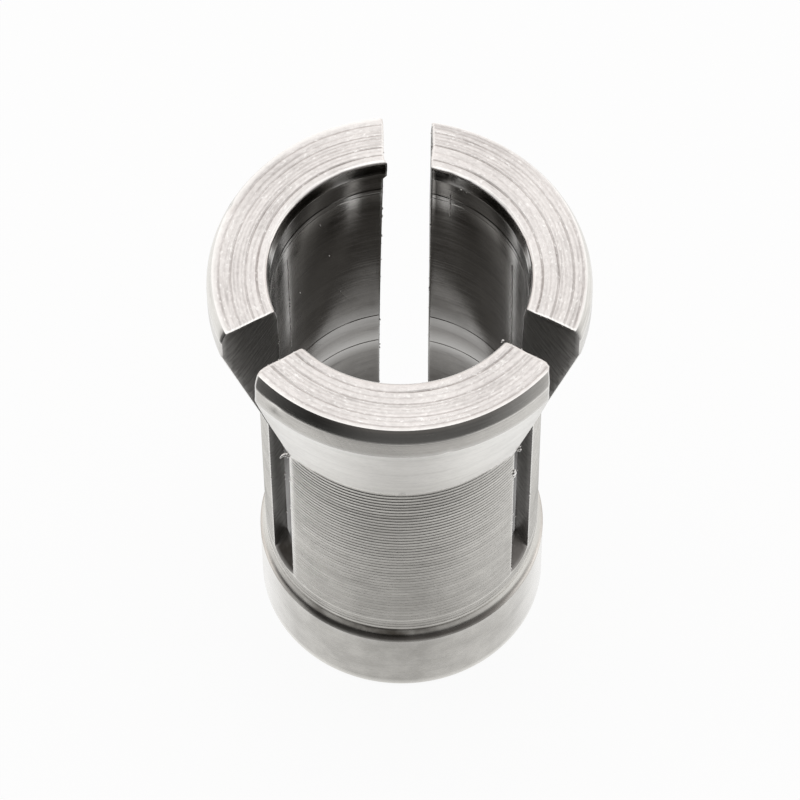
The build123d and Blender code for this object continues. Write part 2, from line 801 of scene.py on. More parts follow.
@dataclass
class PlanMesh:
    """The collet before it is bent round its axis: every vertex as radius, bearing and height."""

    points: list[tuple[float, float, float]] = field(default_factory=list)
    inward: list[tuple[float, float, float]] = field(default_factory=list)
    scallop: list[float] = field(default_factory=list)
    groove: list[int] = field(default_factory=list)
    spring: list[tuple[float, float, float]] = field(default_factory=list)
    edge: list[float] = field(default_factory=list)
    painted_shade: list[float] = field(default_factory=list)
    faces: list[tuple[int, ...]] = field(default_factory=list)
    finishes: list[int] = field(default_factory=list)
    sharp: set[tuple[int, int]] = field(default_factory=set)

    def point(
        self,
        place: tuple[float, float, float],
        inward: tuple[float, float] = (0.0, 0.0),
        scallop: float = 0.0,
        groove: int = 0,
        spring: tuple[float, float] = (0.0, 0.0),
        edge: float = 0.0,
        painted_shade: float = 0.0,
    ) -> int:
        """Adds a vertex.

        Args:
            place: its radius and height in millimetres round its bearing in radians.
            inward: the way into the metal, across and along the axis.
            scallop: its share of a feed mark's depth.
            groove: which feed mark it is in.
            spring: how far its jaw has sprung at the face.
            edge: 1 on a worn edge that also gets a painted highlight, 0 away from one.
            painted_shade: how much painted shade darkens it, from 0 to 1.

        Returns:
            The vertex's number.
        """
        self.points.append(place)
        self.inward.append((inward[0], 0.0, inward[1]))
        self.scallop.append(scallop)
        self.groove.append(groove)
        self.spring.append((spring[0], spring[1], 0.0))
        self.edge.append(edge)
        self.painted_shade.append(painted_shade)
        return len(self.points) - 1

    def face(self, corners: Sequence[int], finish: Finish) -> None:
        """Adds a face with its finish."""
        self.faces.append(tuple(corners))
        self.finishes.append(finish.value)

    def crease(self, run: Sequence[int], closed: bool = False) -> None:
        """Keeps a run of edges sharp.

        Args:
            run: the vertices in order.
            closed: whether the last joins the first.
        """
        pairs = list(zip(run, run[1:]))
        if closed:
            pairs.append((run[-1], run[0]))
        self.sharp.update((min(pair), max(pair)) for pair in pairs)

    def build(self, name: str) -> bpy.types.Object:
        """Makes the mesh object, with what the geometry nodes need as attributes.

        Args:
            name: the object's name.

        Returns:
            The object, still flat in radius, bearing and height.
        """
        mesh = bpy.data.meshes.new(name)
        mesh.from_pydata(self.points, [], self.faces, shade_flat=False)
        values = {
            ("inward", "FLOAT_VECTOR", "vector"): self.inward,
            ("spring", "FLOAT_VECTOR", "vector"): self.spring,
            ("scallop", "FLOAT", "value"): self.scallop,
            # Worn edges, also painted with a highlight
            ("edge_wear", "FLOAT", "value"): self.edge,
            # Painted shade, from 0 to 1
            ("oil_film", "FLOAT", "value"): self.painted_shade,
            ("groove", "INT", "value"): self.groove,
        }
        for (title, kind, channel), given in values.items():
            held = mesh.attributes.new(title, kind, "POINT")
            number = np.int32 if kind == "INT" else np.float32
            held.data.foreach_set(channel, np.array(given, dtype=number).ravel())
        held = mesh.attributes.new("finish", "INT", "FACE")
        held.data.foreach_set("value", np.array(self.finishes, dtype=np.int32))
        sharp = mesh.attributes.new("sharp_edge", "BOOLEAN", "EDGE")
        ends = np.zeros(len(mesh.edges) * 2, dtype=np.int32)
        mesh.edges.foreach_get("vertices", ends)
        pairs = np.sort(ends.reshape(-1, 2), axis=1)
        crisp = [tuple(pair) in self.sharp for pair in pairs.tolist()]
        sharp.data.foreach_set("value", np.array(crisp, dtype=bool))
        return add_object(name, mesh)


@dataclass(frozen=True)
class Nick:
    """A small dent in an edge: where it is, how wide, and how deep, in millimetres."""

    place: tuple[float, float, float]
    reach: float
    depth: float

    def depth_at(self, spot: tuple[float, float, float]) -> float:
        """How deep the dent is at a point."""
        away = math.dist(self.place, spot) / self.reach
        return self.depth * (1 - away * away) ** 2 if away < 1 else 0.0


@dataclass(frozen=True)
class WallWear:
    """Where the sawn walls are worn at the head's corner, rolled at the body and lipped at the mouth."""

    corner_from: float = 5.15
    corner_reach: float = 0.85
    corner_power: float = 2.2
    rolled_from: float = 5.0
    rolled_rise: float = 7.0
    rolled_to: float = 14.5
    rolled_inner: float = 4.3
    rolled_outer: float = 4.9
    rolled_fade: float = 0.2
    lip_radius: float = 4.05
    lip_width: float = 0.13
    lip_depth: float = 0.8
    lip_fade: float = 0.15


NICKS: tuple[Nick, ...] = (
    Nick((-5.32, 2.56, 18.2), 0.34, 0.07),
    Nick((5.55, -0.35, 18.2), 0.2, 0.03),
    Nick((-3.9, -4.55, 17.5), 0.25, 0.05),
    Nick((1.4, -5.85, 16.9), 0.22, 0.03),
    Nick((3.88, 1.28, 18.17), 0.15, 0.035),
    Nick((3.32, 2.40, 18.17), 0.12, 0.03),
    Nick((2.18, 3.44, 18.18), 0.11, 0.03),
    Nick((1.60, 3.72, 18.17), 0.17, 0.035),
    Nick((2.85, 2.92, 18.18), 0.10, 0.025),
    Nick((4.05, 0.35, 18.18), 0.12, 0.025),
    Nick((-3.95, 1.05, 18.18), 0.13, 0.03),
    Nick((-3.2, 2.55, 18.18), 0.12, 0.025),
    Nick((-1.75, 3.7, 18.18), 0.12, 0.025),
)

# The columns of one jaw, and the vertices along the feet of its two walls
MadeJaw = tuple[list[list[int]], list[int], list[int]]


@dataclass
class SlottedSleeve:
    """The one steel piece: its plan mesh, and the geometry nodes that turn it about its axis."""

    section: TurnedSection
    jaws: tuple[Jaw, Jaw, Jaw]
    wear: WallWear = WallWear()
    nicks: tuple[Nick, ...] = NICKS
    columns: int = 60
    slot_columns: int = 8
    slot_rows: int = 5
    wall_step: float = 0.16
    wall_margin: float = 0.06
    feed_depth: float = 0.02
    depth_spread: float = 0.05
    depth_wander: float = 1.0
    spring_power: float = 1.5
    cone_droop: float = 0.46
    droop_power: float = 5.0
    foot_hollow: float = 0.02
    foot_sags: tuple[float, float] = (0.08, 0.1)
    # Brightness of worn edges, which also stands for a painted highlight: at the slots' feet, on the guide
    # ring's and base's edges, and on other crisp edges
    foot_wear_and_highlight: float = 0.4
    ring_wear_and_highlight: float = 0.6
    crisp_wear_and_highlight: float = 0.85
    # Painted shade in the foot of each slot
    foot_painted_shades: tuple[float, float, float] = (0.5, 0.85, 0.5)
    # Painted shade on the bore's sides and front
    bore_side_painted_shade: float = 0.32
    # The most painted shade anywhere
    thickest_painted_shade: float = 0.95
    # Painted shade in the shoulder is darkest at this bearing, towards the camera, and keeps at least a share
    # of it elsewhere
    painted_shade_bearing: float = 257.0
    least_facing_share: float = 0.3
    facing_power: float = 1.7
    seed: int = 7

    def _lift(self, height: float) -> float:
        """How much of its spring a jaw shows at a height, from 0 at the slots' foot to 1 at the face."""
        share = (height - self.section.slot_foot) / (self.section.total_length - self.section.slot_foot)
        return max(0.0, share) ** self.spring_power

    def wall_bearing(self, jaw: Jaw, at_start: bool, radius: float, height: float) -> float:
        """Bearing of a jaw's sawn wall.

        Args:
            jaw: the jaw.
            at_start: True for its clockwise wall, False for the other.
            radius: distance from the axis, in millimetres.
            height: height above the base, in millimetres.

        Returns:
            The bearing in radians, before the jaw springs.
        """
        wall = jaw.start if at_start else jaw.end
        slot = math.radians(wall.bearing)
        lift = self._lift(height)
        offset = wall.at_foot + (wall.at_face - wall.at_foot) * lift
        wear = self.wear
        beyond = max(0.0, (radius - wear.corner_from) / wear.corner_reach)
        offset += wall.corner_wear * beyond**wear.corner_power
        upwards = kept(min((height - wear.rolled_from) / wear.rolled_rise, wear.rolled_to - height))
        inside, outside = radius - wear.rolled_inner, wear.rolled_outer - radius
        outwards = kept(min(inside / wear.rolled_fade, outside / wear.rolled_fade))
        offset -= wall.rolled * upwards * outwards
        if wall.lip:
            ridge = math.exp(-(((radius - wear.lip_radius) / wear.lip_width) ** 2))
            above = height - self.section.total_length + wear.lip_depth
            offset -= wall.lip * ridge * kept(above / wear.lip_fade)
        across = (-math.sin(slot) * jaw.spring[0] + math.cos(slot) * jaw.spring[1]) * lift
        if at_start:
            return slot + math.asin((offset - across) / radius)
        return slot - math.asin((offset + across) / radius)

    def _under_cone(self, station: Station, droop: float) -> Optional[float]:
        """Radius of the cone at a station's height.

        The cone was ground deeper beside the slots, so its foot lies lower there.

        Args:
            station: the station, on the body or the cone.
            droop: how far the cone's foot lies below its place in the middle of the jaw.

        Returns:
            The radius, or None where the cone doesn't reach.
        """
        section = self.section
        foot = section.cone_bottom - droop
        share = (station.height - foot) / (section.land_bottom - foot)
        if station.surface not in (Surface.BODY, Surface.CONE) or share <= 0:
            return None
        return section.body_radius + (section.head_radius - section.body_radius) * share

    def _normals(self, stations: Sequence[Station]) -> list[tuple[float, float]]:
        """Way out of the metal at each station of an open run, across and along the axis.

        Args:
            stations: the run.

        Returns:
            A direction of length 1 for each.
        """
        runs = []
        for one, two in zip(stations, stations[1:]):
            across, along = two.radius - one.radius, two.height - one.height
            length = math.hypot(across, along)
            runs.append((along / length, -across / length))
        made = []
        for index in range(len(stations)):
            near = [runs[i] for i in (index - 1, index) if 0 <= i < len(runs)]
            across, along = sum(n[0] for n in near), sum(n[1] for n in near)
            length = math.hypot(across, along)
            made.append((across / length, along / length))
        return made

    def edge_place(self, jaw: Jaw, at_start: bool, radius: float, height: float) -> Vector:
        """A point on a jaw's sawn wall, in millimetres.

        Args:
            jaw: the jaw.
            at_start: True for its clockwise wall.
            radius: distance from the axis before the jaw springs.
            height: height above the base.

        Returns:
            The point.
        """
        bearing = self.wall_bearing(jaw, at_start, radius, height)
        lift = self._lift(height)
        x = radius * math.cos(bearing) + jaw.spring[0] * lift
        y = radius * math.sin(bearing) + jaw.spring[1] * lift
        return Vector((x, y, height))

    def _row(self, jaw: Jaw, station: Station) -> list[tuple[float, float]]:
        """Bearings of one row of a jaw's vertices, counter-clockwise.

        Args:
            jaw: the jaw.
            station: the row's station.

        Returns:
            Each bearing, with its share of the way across the rolled edge: 0 at the wall and 1 away from it.
        """
        roll = (0.0, 0.14, 0.45, 1.0)
        inner = self.columns - 2 * len(roll)
        beside_slot = self._under_cone(station, self.cone_droop) or station.radius
        first = self.wall_bearing(jaw, True, beside_slot, station.height)
        last = self.wall_bearing(jaw, False, beside_slot, station.height)
        if last < first:
            last += 2 * math.pi
        widths = [EDGE_BREAKS[station.surface].width] * 2
        if station.surface is Surface.BODY:
            widths = [jaw.start.strip, jaw.end.strip]
        low = first + widths[0] / station.radius
        high = last - widths[1] / station.radius
        places = [(first + share * widths[0] / station.radius, share) for share in roll]
        places += [(low + (high - low) * (i + 1) / (inner + 1), 1.0) for i in range(inner)]
        places += [(last - share * widths[1] / station.radius, share) for share in reversed(roll)]
        return places

    def _jaw_point(
        self,
        plan: PlanMesh,
        jaw: Jaw,
        station: Station,
        normal: tuple[float, float],
        place: tuple[float, float],
        coned: Optional[float],
    ) -> int:
        """Adds one vertex of a jaw's turned surface, with its nicks, its worn edge that also gets a painted
        highlight, and its painted shade.

        Args:
            plan: the mesh that it is added to.
            jaw: the jaw.
            station: the vertex's station.
            normal: the way out of the metal there.
            place: its bearing, and its share of the way across the rolled edge.
            coned: its radius where the cone reaches over it, else None.

        Returns:
            The vertex's number.
        """
        bearing, share = place
        radius = station.radius if coned is None else coned
        scallop = station.scallop if coned is None else 0.0
        painted_shade = station.painted_shade if coned is None else 0.0
        spot = (radius * math.cos(bearing), radius * math.sin(bearing), station.height)
        sunk = EDGE_BREAKS[station.surface].depth * (1 - share) ** 2
        sunk += sum(nick.depth_at(spot) for nick in self.nicks)
        turn = (math.degrees(bearing) - 90.0) % 360.0 / 360.0
        # Rolled and crisp edges get the brightness of wear, which is also a painted highlight
        crisp = station.crisp or station.surface is Surface.RIM
        on_edge = crisp and station.surface is not Surface.BODY and not station.groove
        # Painted shade in the bore: none at its back, full on its sides and front
        if station.surface is Surface.BORE:
            painted_shade += self.bore_side_painted_shade * kept(1.0 - math.sin(bearing) / 0.6)
        return plan.point(
            (radius + station.drift * turn - normal[0] * sunk, bearing, station.height - normal[1] * sunk),
            (-normal[0], -normal[1]),
            scallop * min(1.0, share * 1.6) ** 2,
            station.groove,
            jaw.spring,
            max((1 - share) ** 0.5, self.crisp_wear_and_highlight if on_edge else 0.0),
            min(painted_shade, self.thickest_painted_shade),
        )

    def _jaw(self, plan: PlanMesh, jaw: Jaw, stations: Sequence[Station]) -> MadeJaw:
        """Turned surfaces and sawn walls of one jaw.

        Args:
            plan: the mesh that it is added to.
            jaw: the jaw.
            stations: its section.

        Returns:
            The vertices of each column, clockwise wall first, then those along the feet of its two walls,
            from the body inwards.
        """
        grid: list[list[int]] = [[] for _ in range(self.columns)]
        covered: list[list[bool]] = [[] for _ in range(self.columns)]
        for station, normal in zip(stations, self._normals(stations)):
            places = self._row(jaw, station)
            first, last = places[0][0], places[-1][0]
            for column, place in enumerate(places):
                across = abs(2 * (place[0] - first) / (last - first) - 1)
                coned = self._under_cone(station, self.cone_droop * across**self.droop_power)
                covered[column].append(coned is not None)
                grid[column].append(self._jaw_point(plan, jaw, station, normal, place, coned))
        for column in range(self.columns - 1):
            for row in range(len(stations) - 1):
                here, there = grid[column], grid[column + 1]
                surface = stations[row + 1].surface
                if surface is Surface.BODY and covered[column][row] and covered[column + 1][row]:
                    surface = Surface.CONE
                plan.face((here[row], there[row], there[row + 1], here[row + 1]), FINISH_OF[surface])
        for row, station in enumerate(stations):
            if station.crisp:
                plan.crease([grid[column][row] for column in range(self.columns)])
        start_foot = self._wall_foot(plan, jaw, True, grid[0][0], grid[0][-1])
        end_foot = self._wall_foot(plan, jaw, False, grid[-1][0], grid[-1][-1])
        self._sawn_wall(plan, jaw, True, grid[0] + start_foot[::-1])
        self._sawn_wall(plan, jaw, False, grid[-1] + end_foot[::-1])
        return grid, start_foot, end_foot

    def _wall_foot(self, plan: PlanMesh, jaw: Jaw, at_start: bool, outer: int, bore: int) -> list[int]:
        """Vertices along the foot of a sawn wall, between its ends on the body and in the bore.

        Args:
            plan: the mesh that they are added to.
            jaw: the jaw.
            at_start: True for its clockwise wall.
            outer: the foot's vertex on the body.
            bore: its vertex in the bore.

        Returns:
            The vertices from the body inwards.
        """
        low, high = plan.points[outer], plan.points[bore]
        made = []
        for part in range(1, self.slot_rows):
            share = part / self.slot_rows
            radius = low[0] + (high[0] - low[0]) * share
            height = low[2] + (high[2] - low[2]) * share - self.foot_hollow * math.sin(math.pi * share)
            made.append(plan.point((radius, self.wall_bearing(jaw, at_start, radius, height), height)))
        return made

    def _sawn_wall(self, plan: PlanMesh, jaw: Jaw, at_start: bool, outline: Sequence[int]) -> None:
        """Fills a jaw's wall with triangles fine enough to bend with its worn corner.

        Args:
            plan: the mesh that it is added to.
            jaw: the jaw.
            at_start: True for its clockwise wall.
            outline: the vertices round the wall, from the slots' foot on the body, over the face and back.
        """
        border = [Vector((plan.points[i][0], plan.points[i][2])) for i in outline]
        step = self.wall_step
        inner: list[Vector] = []
        radius = min(p.x for p in border)
        while radius < self.section.head_radius:
            height = self.section.slot_foot
            while height < self.section.total_length:
                spot = Vector((radius, height + (0.5 * step if round(radius / step) % 2 else 0.0)))
                if self._inside(spot, border, self.wall_margin):
                    inner.append(spot)
                height += step
            radius += step
        count = len(border)
        edges = [(i, (i + 1) % count) for i in range(count)]
        found = geometry.delaunay_2d_cdt(border + inner, edges, [list(range(count))], 1, 1e-6)
        places, _, triangles, sources = found[:4]
        numbers = []
        for place, source in zip(places, sources):
            if source and source[0] < count:
                numbers.append(outline[source[0]])
            else:
                bearing = self.wall_bearing(jaw, at_start, place.x, place.y)
                numbers.append(plan.point((place.x, bearing, place.y), spring=jaw.spring))
        for triangle in triangles:
            corners = [numbers[i] for i in triangle]
            a, b, c = (places[i] for i in triangle)
            turned_left = (b - a).cross(c - a) > 0
            if turned_left != at_start:
                corners.reverse()
            plan.face(corners, Finish.SAWN)
        plan.crease(outline, closed=True)

    @staticmethod
    def _inside(spot: Vector, border: Sequence[Vector], margin: float) -> bool:
        """Whether a point is inside a closed border and at least a margin away from it.

        Args:
            spot: the point.
            border: the border's corners in order.
            margin: the least distance.

        Returns:
            True where it is.
        """
        within = False
        for one, two in zip(border, list(border[1:]) + [border[0]]):
            if (one.y > spot.y) != (two.y > spot.y):
                if spot.x < one.x + (spot.y - one.y) * (two.x - one.x) / (two.y - one.y):
                    within = not within
            run = two - one
            share = kept((spot - one).dot(run) / max(run.length_squared, 1e-12))
            if (spot - one - run * share).length < margin:
                return False
        return within

    def _slot_foot(
        self,
        plan: PlanMesh,
        outer: Sequence[int],
        bore: Sequence[int],
        sides: tuple[Sequence[int], Sequence[int]],
        painted_shade: float,
    ) -> None:
        """The sloped end of a slot, from the body up to the bore, as the saw's rim left it.

        Args:
            plan: the mesh that it is added to.
            outer: the vertices along its edge on the body, counter-clockwise.
            bore: those along its edge in the bore.
            sides: those along the feet of its two walls, from the body inwards.
            painted_shade: how much painted shade darkens it.
        """
        rows = [list(outer)]
        for part in range(1, self.slot_rows):
            share = part / self.slot_rows
            row = [sides[0][part - 1]]
            for low, high in list(zip(outer, bore))[1:-1]:
                a, b = plan.points[low], plan.points[high]
                radius, bearing, height = (a[i] + (b[i] - a[i]) * share for i in range(3))
                sunk = self.foot_hollow * math.sin(math.pi * share)
                row.append(plan.point((radius, bearing, height - sunk), painted_shade=painted_shade))
            rows.append([*row, sides[1][part - 1]])
        rows.append(list(bore))
        for lower, upper in zip(rows, rows[1:]):
            for i in range(len(lower) - 1):
                plan.face((lower[i], lower[i + 1], upper[i + 1], upper[i]), Finish.SAWN)
        plan.crease(outer)
        plan.crease(bore)

    def _top_rows(self, plan: PlanMesh, grids: Sequence[list[list[int]]]) -> list[tuple[int, int, bool]]:
        """What the ring's columns end at: the jaws' lowest vertices, and new ones across the slots.

        Args:
            plan: the mesh that the new vertices are added to.
            grids: the columns of the three jaws, counter-clockwise.

        Returns:
            For each column its vertex on the body, its vertex in the bore, and whether it is in a slot.
        """
        foot, bore_foot = self.section.slot_foot, self.section.slot_foot_bore
        outer_radius = self.section.body_radius - EDGE_BREAKS[Surface.BODY].depth
        bore_radius = self.section.bore_radius + self.foot_hollow
        made: list[tuple[int, int, bool]] = []
        for index, grid in enumerate(grids):
            made += [(column[0], column[-1], False) for column in grid]
            one, two = grid[-1], grids[(index + 1) % 3][0]
            bearings = [plan.points[end][1] for end in (one[0], two[0], one[-1], two[-1])]
            for pair in (1, 3):
                while bearings[pair] < bearings[pair - 1]:
                    bearings[pair] += 2 * math.pi
            for part in range(1, self.slot_columns):
                share = part / self.slot_columns
                sags = [sag * hollow(share) for sag in self.foot_sags]
                outer_bearing = bearings[0] + (bearings[1] - bearings[0]) * share
                bore_bearing = bearings[2] + (bearings[3] - bearings[2]) * share
                outer_place = (outer_radius, outer_bearing, foot - sags[0])
                bore_place = (bore_radius, bore_bearing, bore_foot - sags[1])
                outer = plan.point(outer_place, (-1, 0), edge=self.foot_wear_and_highlight)
                bore = plan.point(bore_place, (1, 0), edge=self.foot_wear_and_highlight)
                made.append((outer, bore, True))
        return made

    def _ring(self, plan: PlanMesh, made_jaws: Sequence[MadeJaw], stations: Sequence[Station]) -> None:
        """The unslotted ring under the jaws, and the ends of the slots.

        Args:
            plan: the mesh that it is added to.
            made_jaws: the columns and wall feet of the three jaws, counter-clockwise.
            stations: the ring's section, from the bore to the body.
        """
        section = self.section
        wall = section.body_radius - section.bore_radius
        normals = self._normals(list(stations))
        ring = []
        for outer, bore, in_slot in self._top_rows(plan, [made[0] for made in made_jaws]):
            _, outer_bearing, outer_height = plan.points[outer]
            bore_bearing = plan.points[bore][1]
            while bore_bearing - outer_bearing > math.pi:
                bore_bearing -= 2 * math.pi
            column = [bore]
            for station, normal in zip(stations, normals):
                blend = kept((station.radius - section.bore_radius) / wall)
                bearing = bore_bearing + (outer_bearing - bore_bearing) * blend
                on_body = station.surface is Surface.BODY
                height = station.height
                near = (height - (section.slot_foot - section.pitch)) / section.pitch
                if in_slot and on_body and near > 0:
                    height -= (section.slot_foot - outer_height) * near
                fade = 0.5 if on_body and station.groove <= 0 else 1.0
                # The guide ring's and base's edges get the brightness of wear, which is also a painted
                # highlight
                worn = station.crisp and station.surface in (Surface.GUIDE, Surface.BASE)
                painted_shade = station.painted_shade
                # Painted shade in the shoulder, darkest on the side towards the camera, standing in for the
                # dark it reflects
                if station.surface is Surface.SHOULDER:
                    facing = math.cos(bearing - math.radians(self.painted_shade_bearing))
                    painted_shade *= max(self.least_facing_share, facing) ** self.facing_power
                vertex = plan.point(
                    (station.radius, bearing, height),
                    (-normal[0], -normal[1]),
                    station.scallop * fade,
                    station.groove,
                    edge=self.ring_wear_and_highlight if worn else 0.0,
                    painted_shade=painted_shade,
                )
                column.append(vertex)
            column.append(outer)
            ring.append(column)
        surfaces = [station.surface for station in stations] + [Surface.BODY]
        count = len(ring)
        for index in range(count):
            here, there = ring[index], ring[(index + 1) % count]
            for row, surface in enumerate(surfaces):
                plan.face((here[row], there[row], there[row + 1], here[row + 1]), FINISH_OF[surface])
        for row, station in enumerate(stations):
            if station.crisp:
                plan.crease([column[row + 1] for column in ring], closed=True)
        per_jaw = self.columns + self.slot_columns - 1
        for index in range(3):
            span = [(index * per_jaw + self.columns - 1 + i) % count for i in range(self.slot_columns + 1)]
            sides = (made_jaws[index][2], made_jaws[(index + 1) % 3][1])
            outer_edge = [ring[i][-1] for i in span]
            bore_edge = [ring[i][0] for i in span]
            self._slot_foot(plan, outer_edge, bore_edge, sides, self.foot_painted_shades[index])

    def plan(self) -> PlanMesh:
        """The whole piece as a closed mesh in radius, bearing and height.

        Returns:
            The mesh, not yet bent round.
        """
        made = PlanMesh()
        stations = self.section.jaw_stations()
        grids = [self._jaw(made, jaw, stations) for jaw in self.jaws]
        self._ring(made, grids, self.section.ring_stations())
        return made

    def lathe_tree(self, materials: Sequence[bpy.types.Material]) -> bpy.types.GeometryNodeTree:
        """Geometry nodes that cut the feed marks, bend the plan round, spring the jaws and dress the faces.

        Args:
            materials: one material for each finish, in the order of its value.

        Returns:
            The node tree.
        """
        depths = ("Feed Depth", "Depth Spread", "Depth Wander")
        lengths = ("Slot Foot", "Total Length", "Spring Power", "Unit")
        graph, given, end = new_geometry_tree("Turn on the lathe", depths + lengths)
        chance = graph.node("FunctionNodeRandomValue", data_type="FLOAT")
        limits = enabled(chance.inputs)
        graph.feed(limits["Min"], -1.0)
        graph.feed(limits["Max"], 1.0)
        graph.feed(limits["ID"], graph.attribute("groove", "INT"))
        graph.feed(limits["Seed"], given["Seed"])
        spread = graph.times(enabled(chance.outputs)["Value"], given["Depth Spread"])
        radius, bearing, height = graph.split(graph.node("GeometryNodeInputPosition").outputs[0])
        cosine, sine = graph.math("COSINE", bearing), graph.math("SINE", bearing)
        groove = graph.attribute("groove", "INT")
        round_about = graph.join(cosine, sine, graph.times(groove, 3.7))
        wander = graph.minus(graph.noise(round_about, given["Seed"], 2.2, 2.0), 0.5)
        on_face = graph.math("GREATER_THAN", groove, FACE_MARKS - 1.0)
        amount = graph.plus(graph.times(on_face, 1.94), 0.06)
        wander = graph.times(graph.times(wander, amount), given["Depth Wander"])
        share = graph.math("MAXIMUM", graph.plus(graph.plus(spread, 1.0), wander), 0.1)
        share = graph.times(share, graph.attribute("scallop", "FLOAT"))
        depth = graph.times(share, given["Feed Depth"])
        mark = graph.node("GeometryNodeStoreNamedAttribute", data_type="FLOAT", domain="POINT")
        graph.feed(mark.inputs["Geometry"], given["Geometry"])
        mark.inputs["Name"].default_value = "feed_mark"
        graph.feed(enabled(mark.inputs)["Value"], share)
        into_x, _, into_z = graph.split(graph.attribute("inward", "FLOAT_VECTOR"))
        radius = graph.plus(radius, graph.times(into_x, depth))
        height = graph.plus(height, graph.times(into_z, depth))

        share = graph.minus(height, given["Slot Foot"])
        reach = graph.minus(given["Total Length"], given["Slot Foot"])
        lift = graph.math("POWER", graph.math("DIVIDE", share, reach, clamp=True), given["Spring Power"])
        spring_x, spring_y, _ = graph.split(graph.attribute("spring", "FLOAT_VECTOR"))
        x = graph.plus(graph.times(radius, cosine), graph.times(spring_x, lift))
        y = graph.plus(graph.times(radius, sine), graph.times(spring_y, lift))
        x = graph.times(x, given["Unit"])
        y = graph.times(y, given["Unit"])
        z = graph.times(height, given["Unit"])

        flow = graph.step("GeometryNodeSetPosition", mark.outputs["Geometry"], Position=graph.join(x, y, z))
        flow = graph.step("GeometryNodeRealizeInstances", flow)
        for finish in Finish:
            compare = graph.node("FunctionNodeCompare", data_type="INT", operation="EQUAL")
            pair = enabled(compare.inputs)
            graph.feed(pair["A"], graph.attribute("finish", "INT"))
            graph.feed(pair["B"], finish.value)
            dress = {"Selection": compare.outputs[0], "Material": materials[finish.value]}
            flow = graph.step("GeometryNodeSetMaterial", flow, **dress)
        graph.feed(end.inputs["Geometry"], flow)
        return graph.tree

    def build(self, materials: Sequence[bpy.types.Material]) -> bpy.types.Object:
        """Turns the plan into the finished mesh.

        Args:
            materials: one material for each finish.

        Returns:
            The finished piece, with no modifier left on it.
        """
        values = {
            "Feed Depth": self.feed_depth,
            "Depth Spread": self.depth_spread,
            "Depth Wander": self.depth_wander,
            "Slot Foot": self.section.slot_foot,
            "Total Length": self.section.total_length,
            "Spring Power": self.spring_power,
            "Unit": MM,
            "Seed": self.seed,
        }
        blank = self.plan().build("collet_plan")
        spent = ("inward", "spring", "scallop", "groove", "finish")
        return bake_nodes(blank, self.lathe_tree(materials), values, "collet_turned", spent)


@dataclass(frozen=True)
class Burr:
    """One burr: a grain of torn steel, as long, wide and thick as its size says, in millimetres."""

    place: tuple[float, float, float]
    size: tuple[float, float, float]
    turn: tuple[float, float, float]


@dataclass(frozen=True)
class EdgeBurrs:
    """Burrs of one shape on a wall of the front jaw: each with its height, its size and how far it curls."""

    at_start: bool
    radius: float
    grains: tuple[tuple[float, float, float], ...]
    shape: tuple[float, float, float]
    turn: tuple[float, float, float]


FRONT_BURRS: tuple[EdgeBurrs, ...] = (
    EdgeBurrs(
        False,
        4.55,
        ((10.55, 0.105, 0.0), (10.72, 0.075, 0.0), (10.38, 0.06, 0.0)),
        (0.3, 0.8, 1.25),
        (0.0, 0.08, -0.75),
    ),
    EdgeBurrs(
        False,
        4.70,
        ((12.15, 0.07, 0.0), (12.35, 0.05, 0.0)),
        (0.9, 0.6, 1.2),
        (0.5, 0.3, 1.0),
    ),
    EdgeBurrs(
        True,
        4.58,
        (
            (11.85, 0.085, -0.04),
            (11.92, 0.08, 0.03),
            (11.92, 0.075, 0.10),
            (11.86, 0.07, 0.16),
            (11.76, 0.06, 0.21),
        ),
        (1.1, 0.6, 0.8),
        (0.4, -0.5, 0.7),
    ),
)

# Chips in the mouth: bearing in degrees, height and size
MOUTH_CHIPS: tuple[tuple[float, float, float], ...] = (
    (58.2, 17.62, 0.04),
    (59.6, 17.56, 0.028),
    (60.8, 17.64, 0.046),
    (61.9, 17.55, 0.032),
    (63.0, 17.6, 0.024),
    (66.4, 17.12, 0.022),
    (67.6, 17.2, 0.026),
    (68.9, 17.25, 0.02),
    (70.2, 17.27, 0.024),
    (71.6, 17.27, 0.018),
    (73.1, 17.24, 0.022),
    (47.0, 17.5, 0.02),
    (38.5, 17.45, 0.024),
    (113.0, 17.6, 0.018),
    (128.7, 16.1, 0.03),
    (124.2, 14.1, 0.024),
    (143.0, 13.3, 0.02),
    (118.7, 11.7, 0.02),
)

# Scores down the bore: bearing in degrees, upper and lower end, sway in degrees and thickness
BORE_SCORES: tuple[tuple[float, float, float, float, float], ...] = (
    (66.2, 17.1, 15.95, 0.12, 0.013),
    (27.6, 15.8, 11.2, 0.2, 0.018),
    (151.8, 16.0, 10.9, 0.2, 0.018),
)


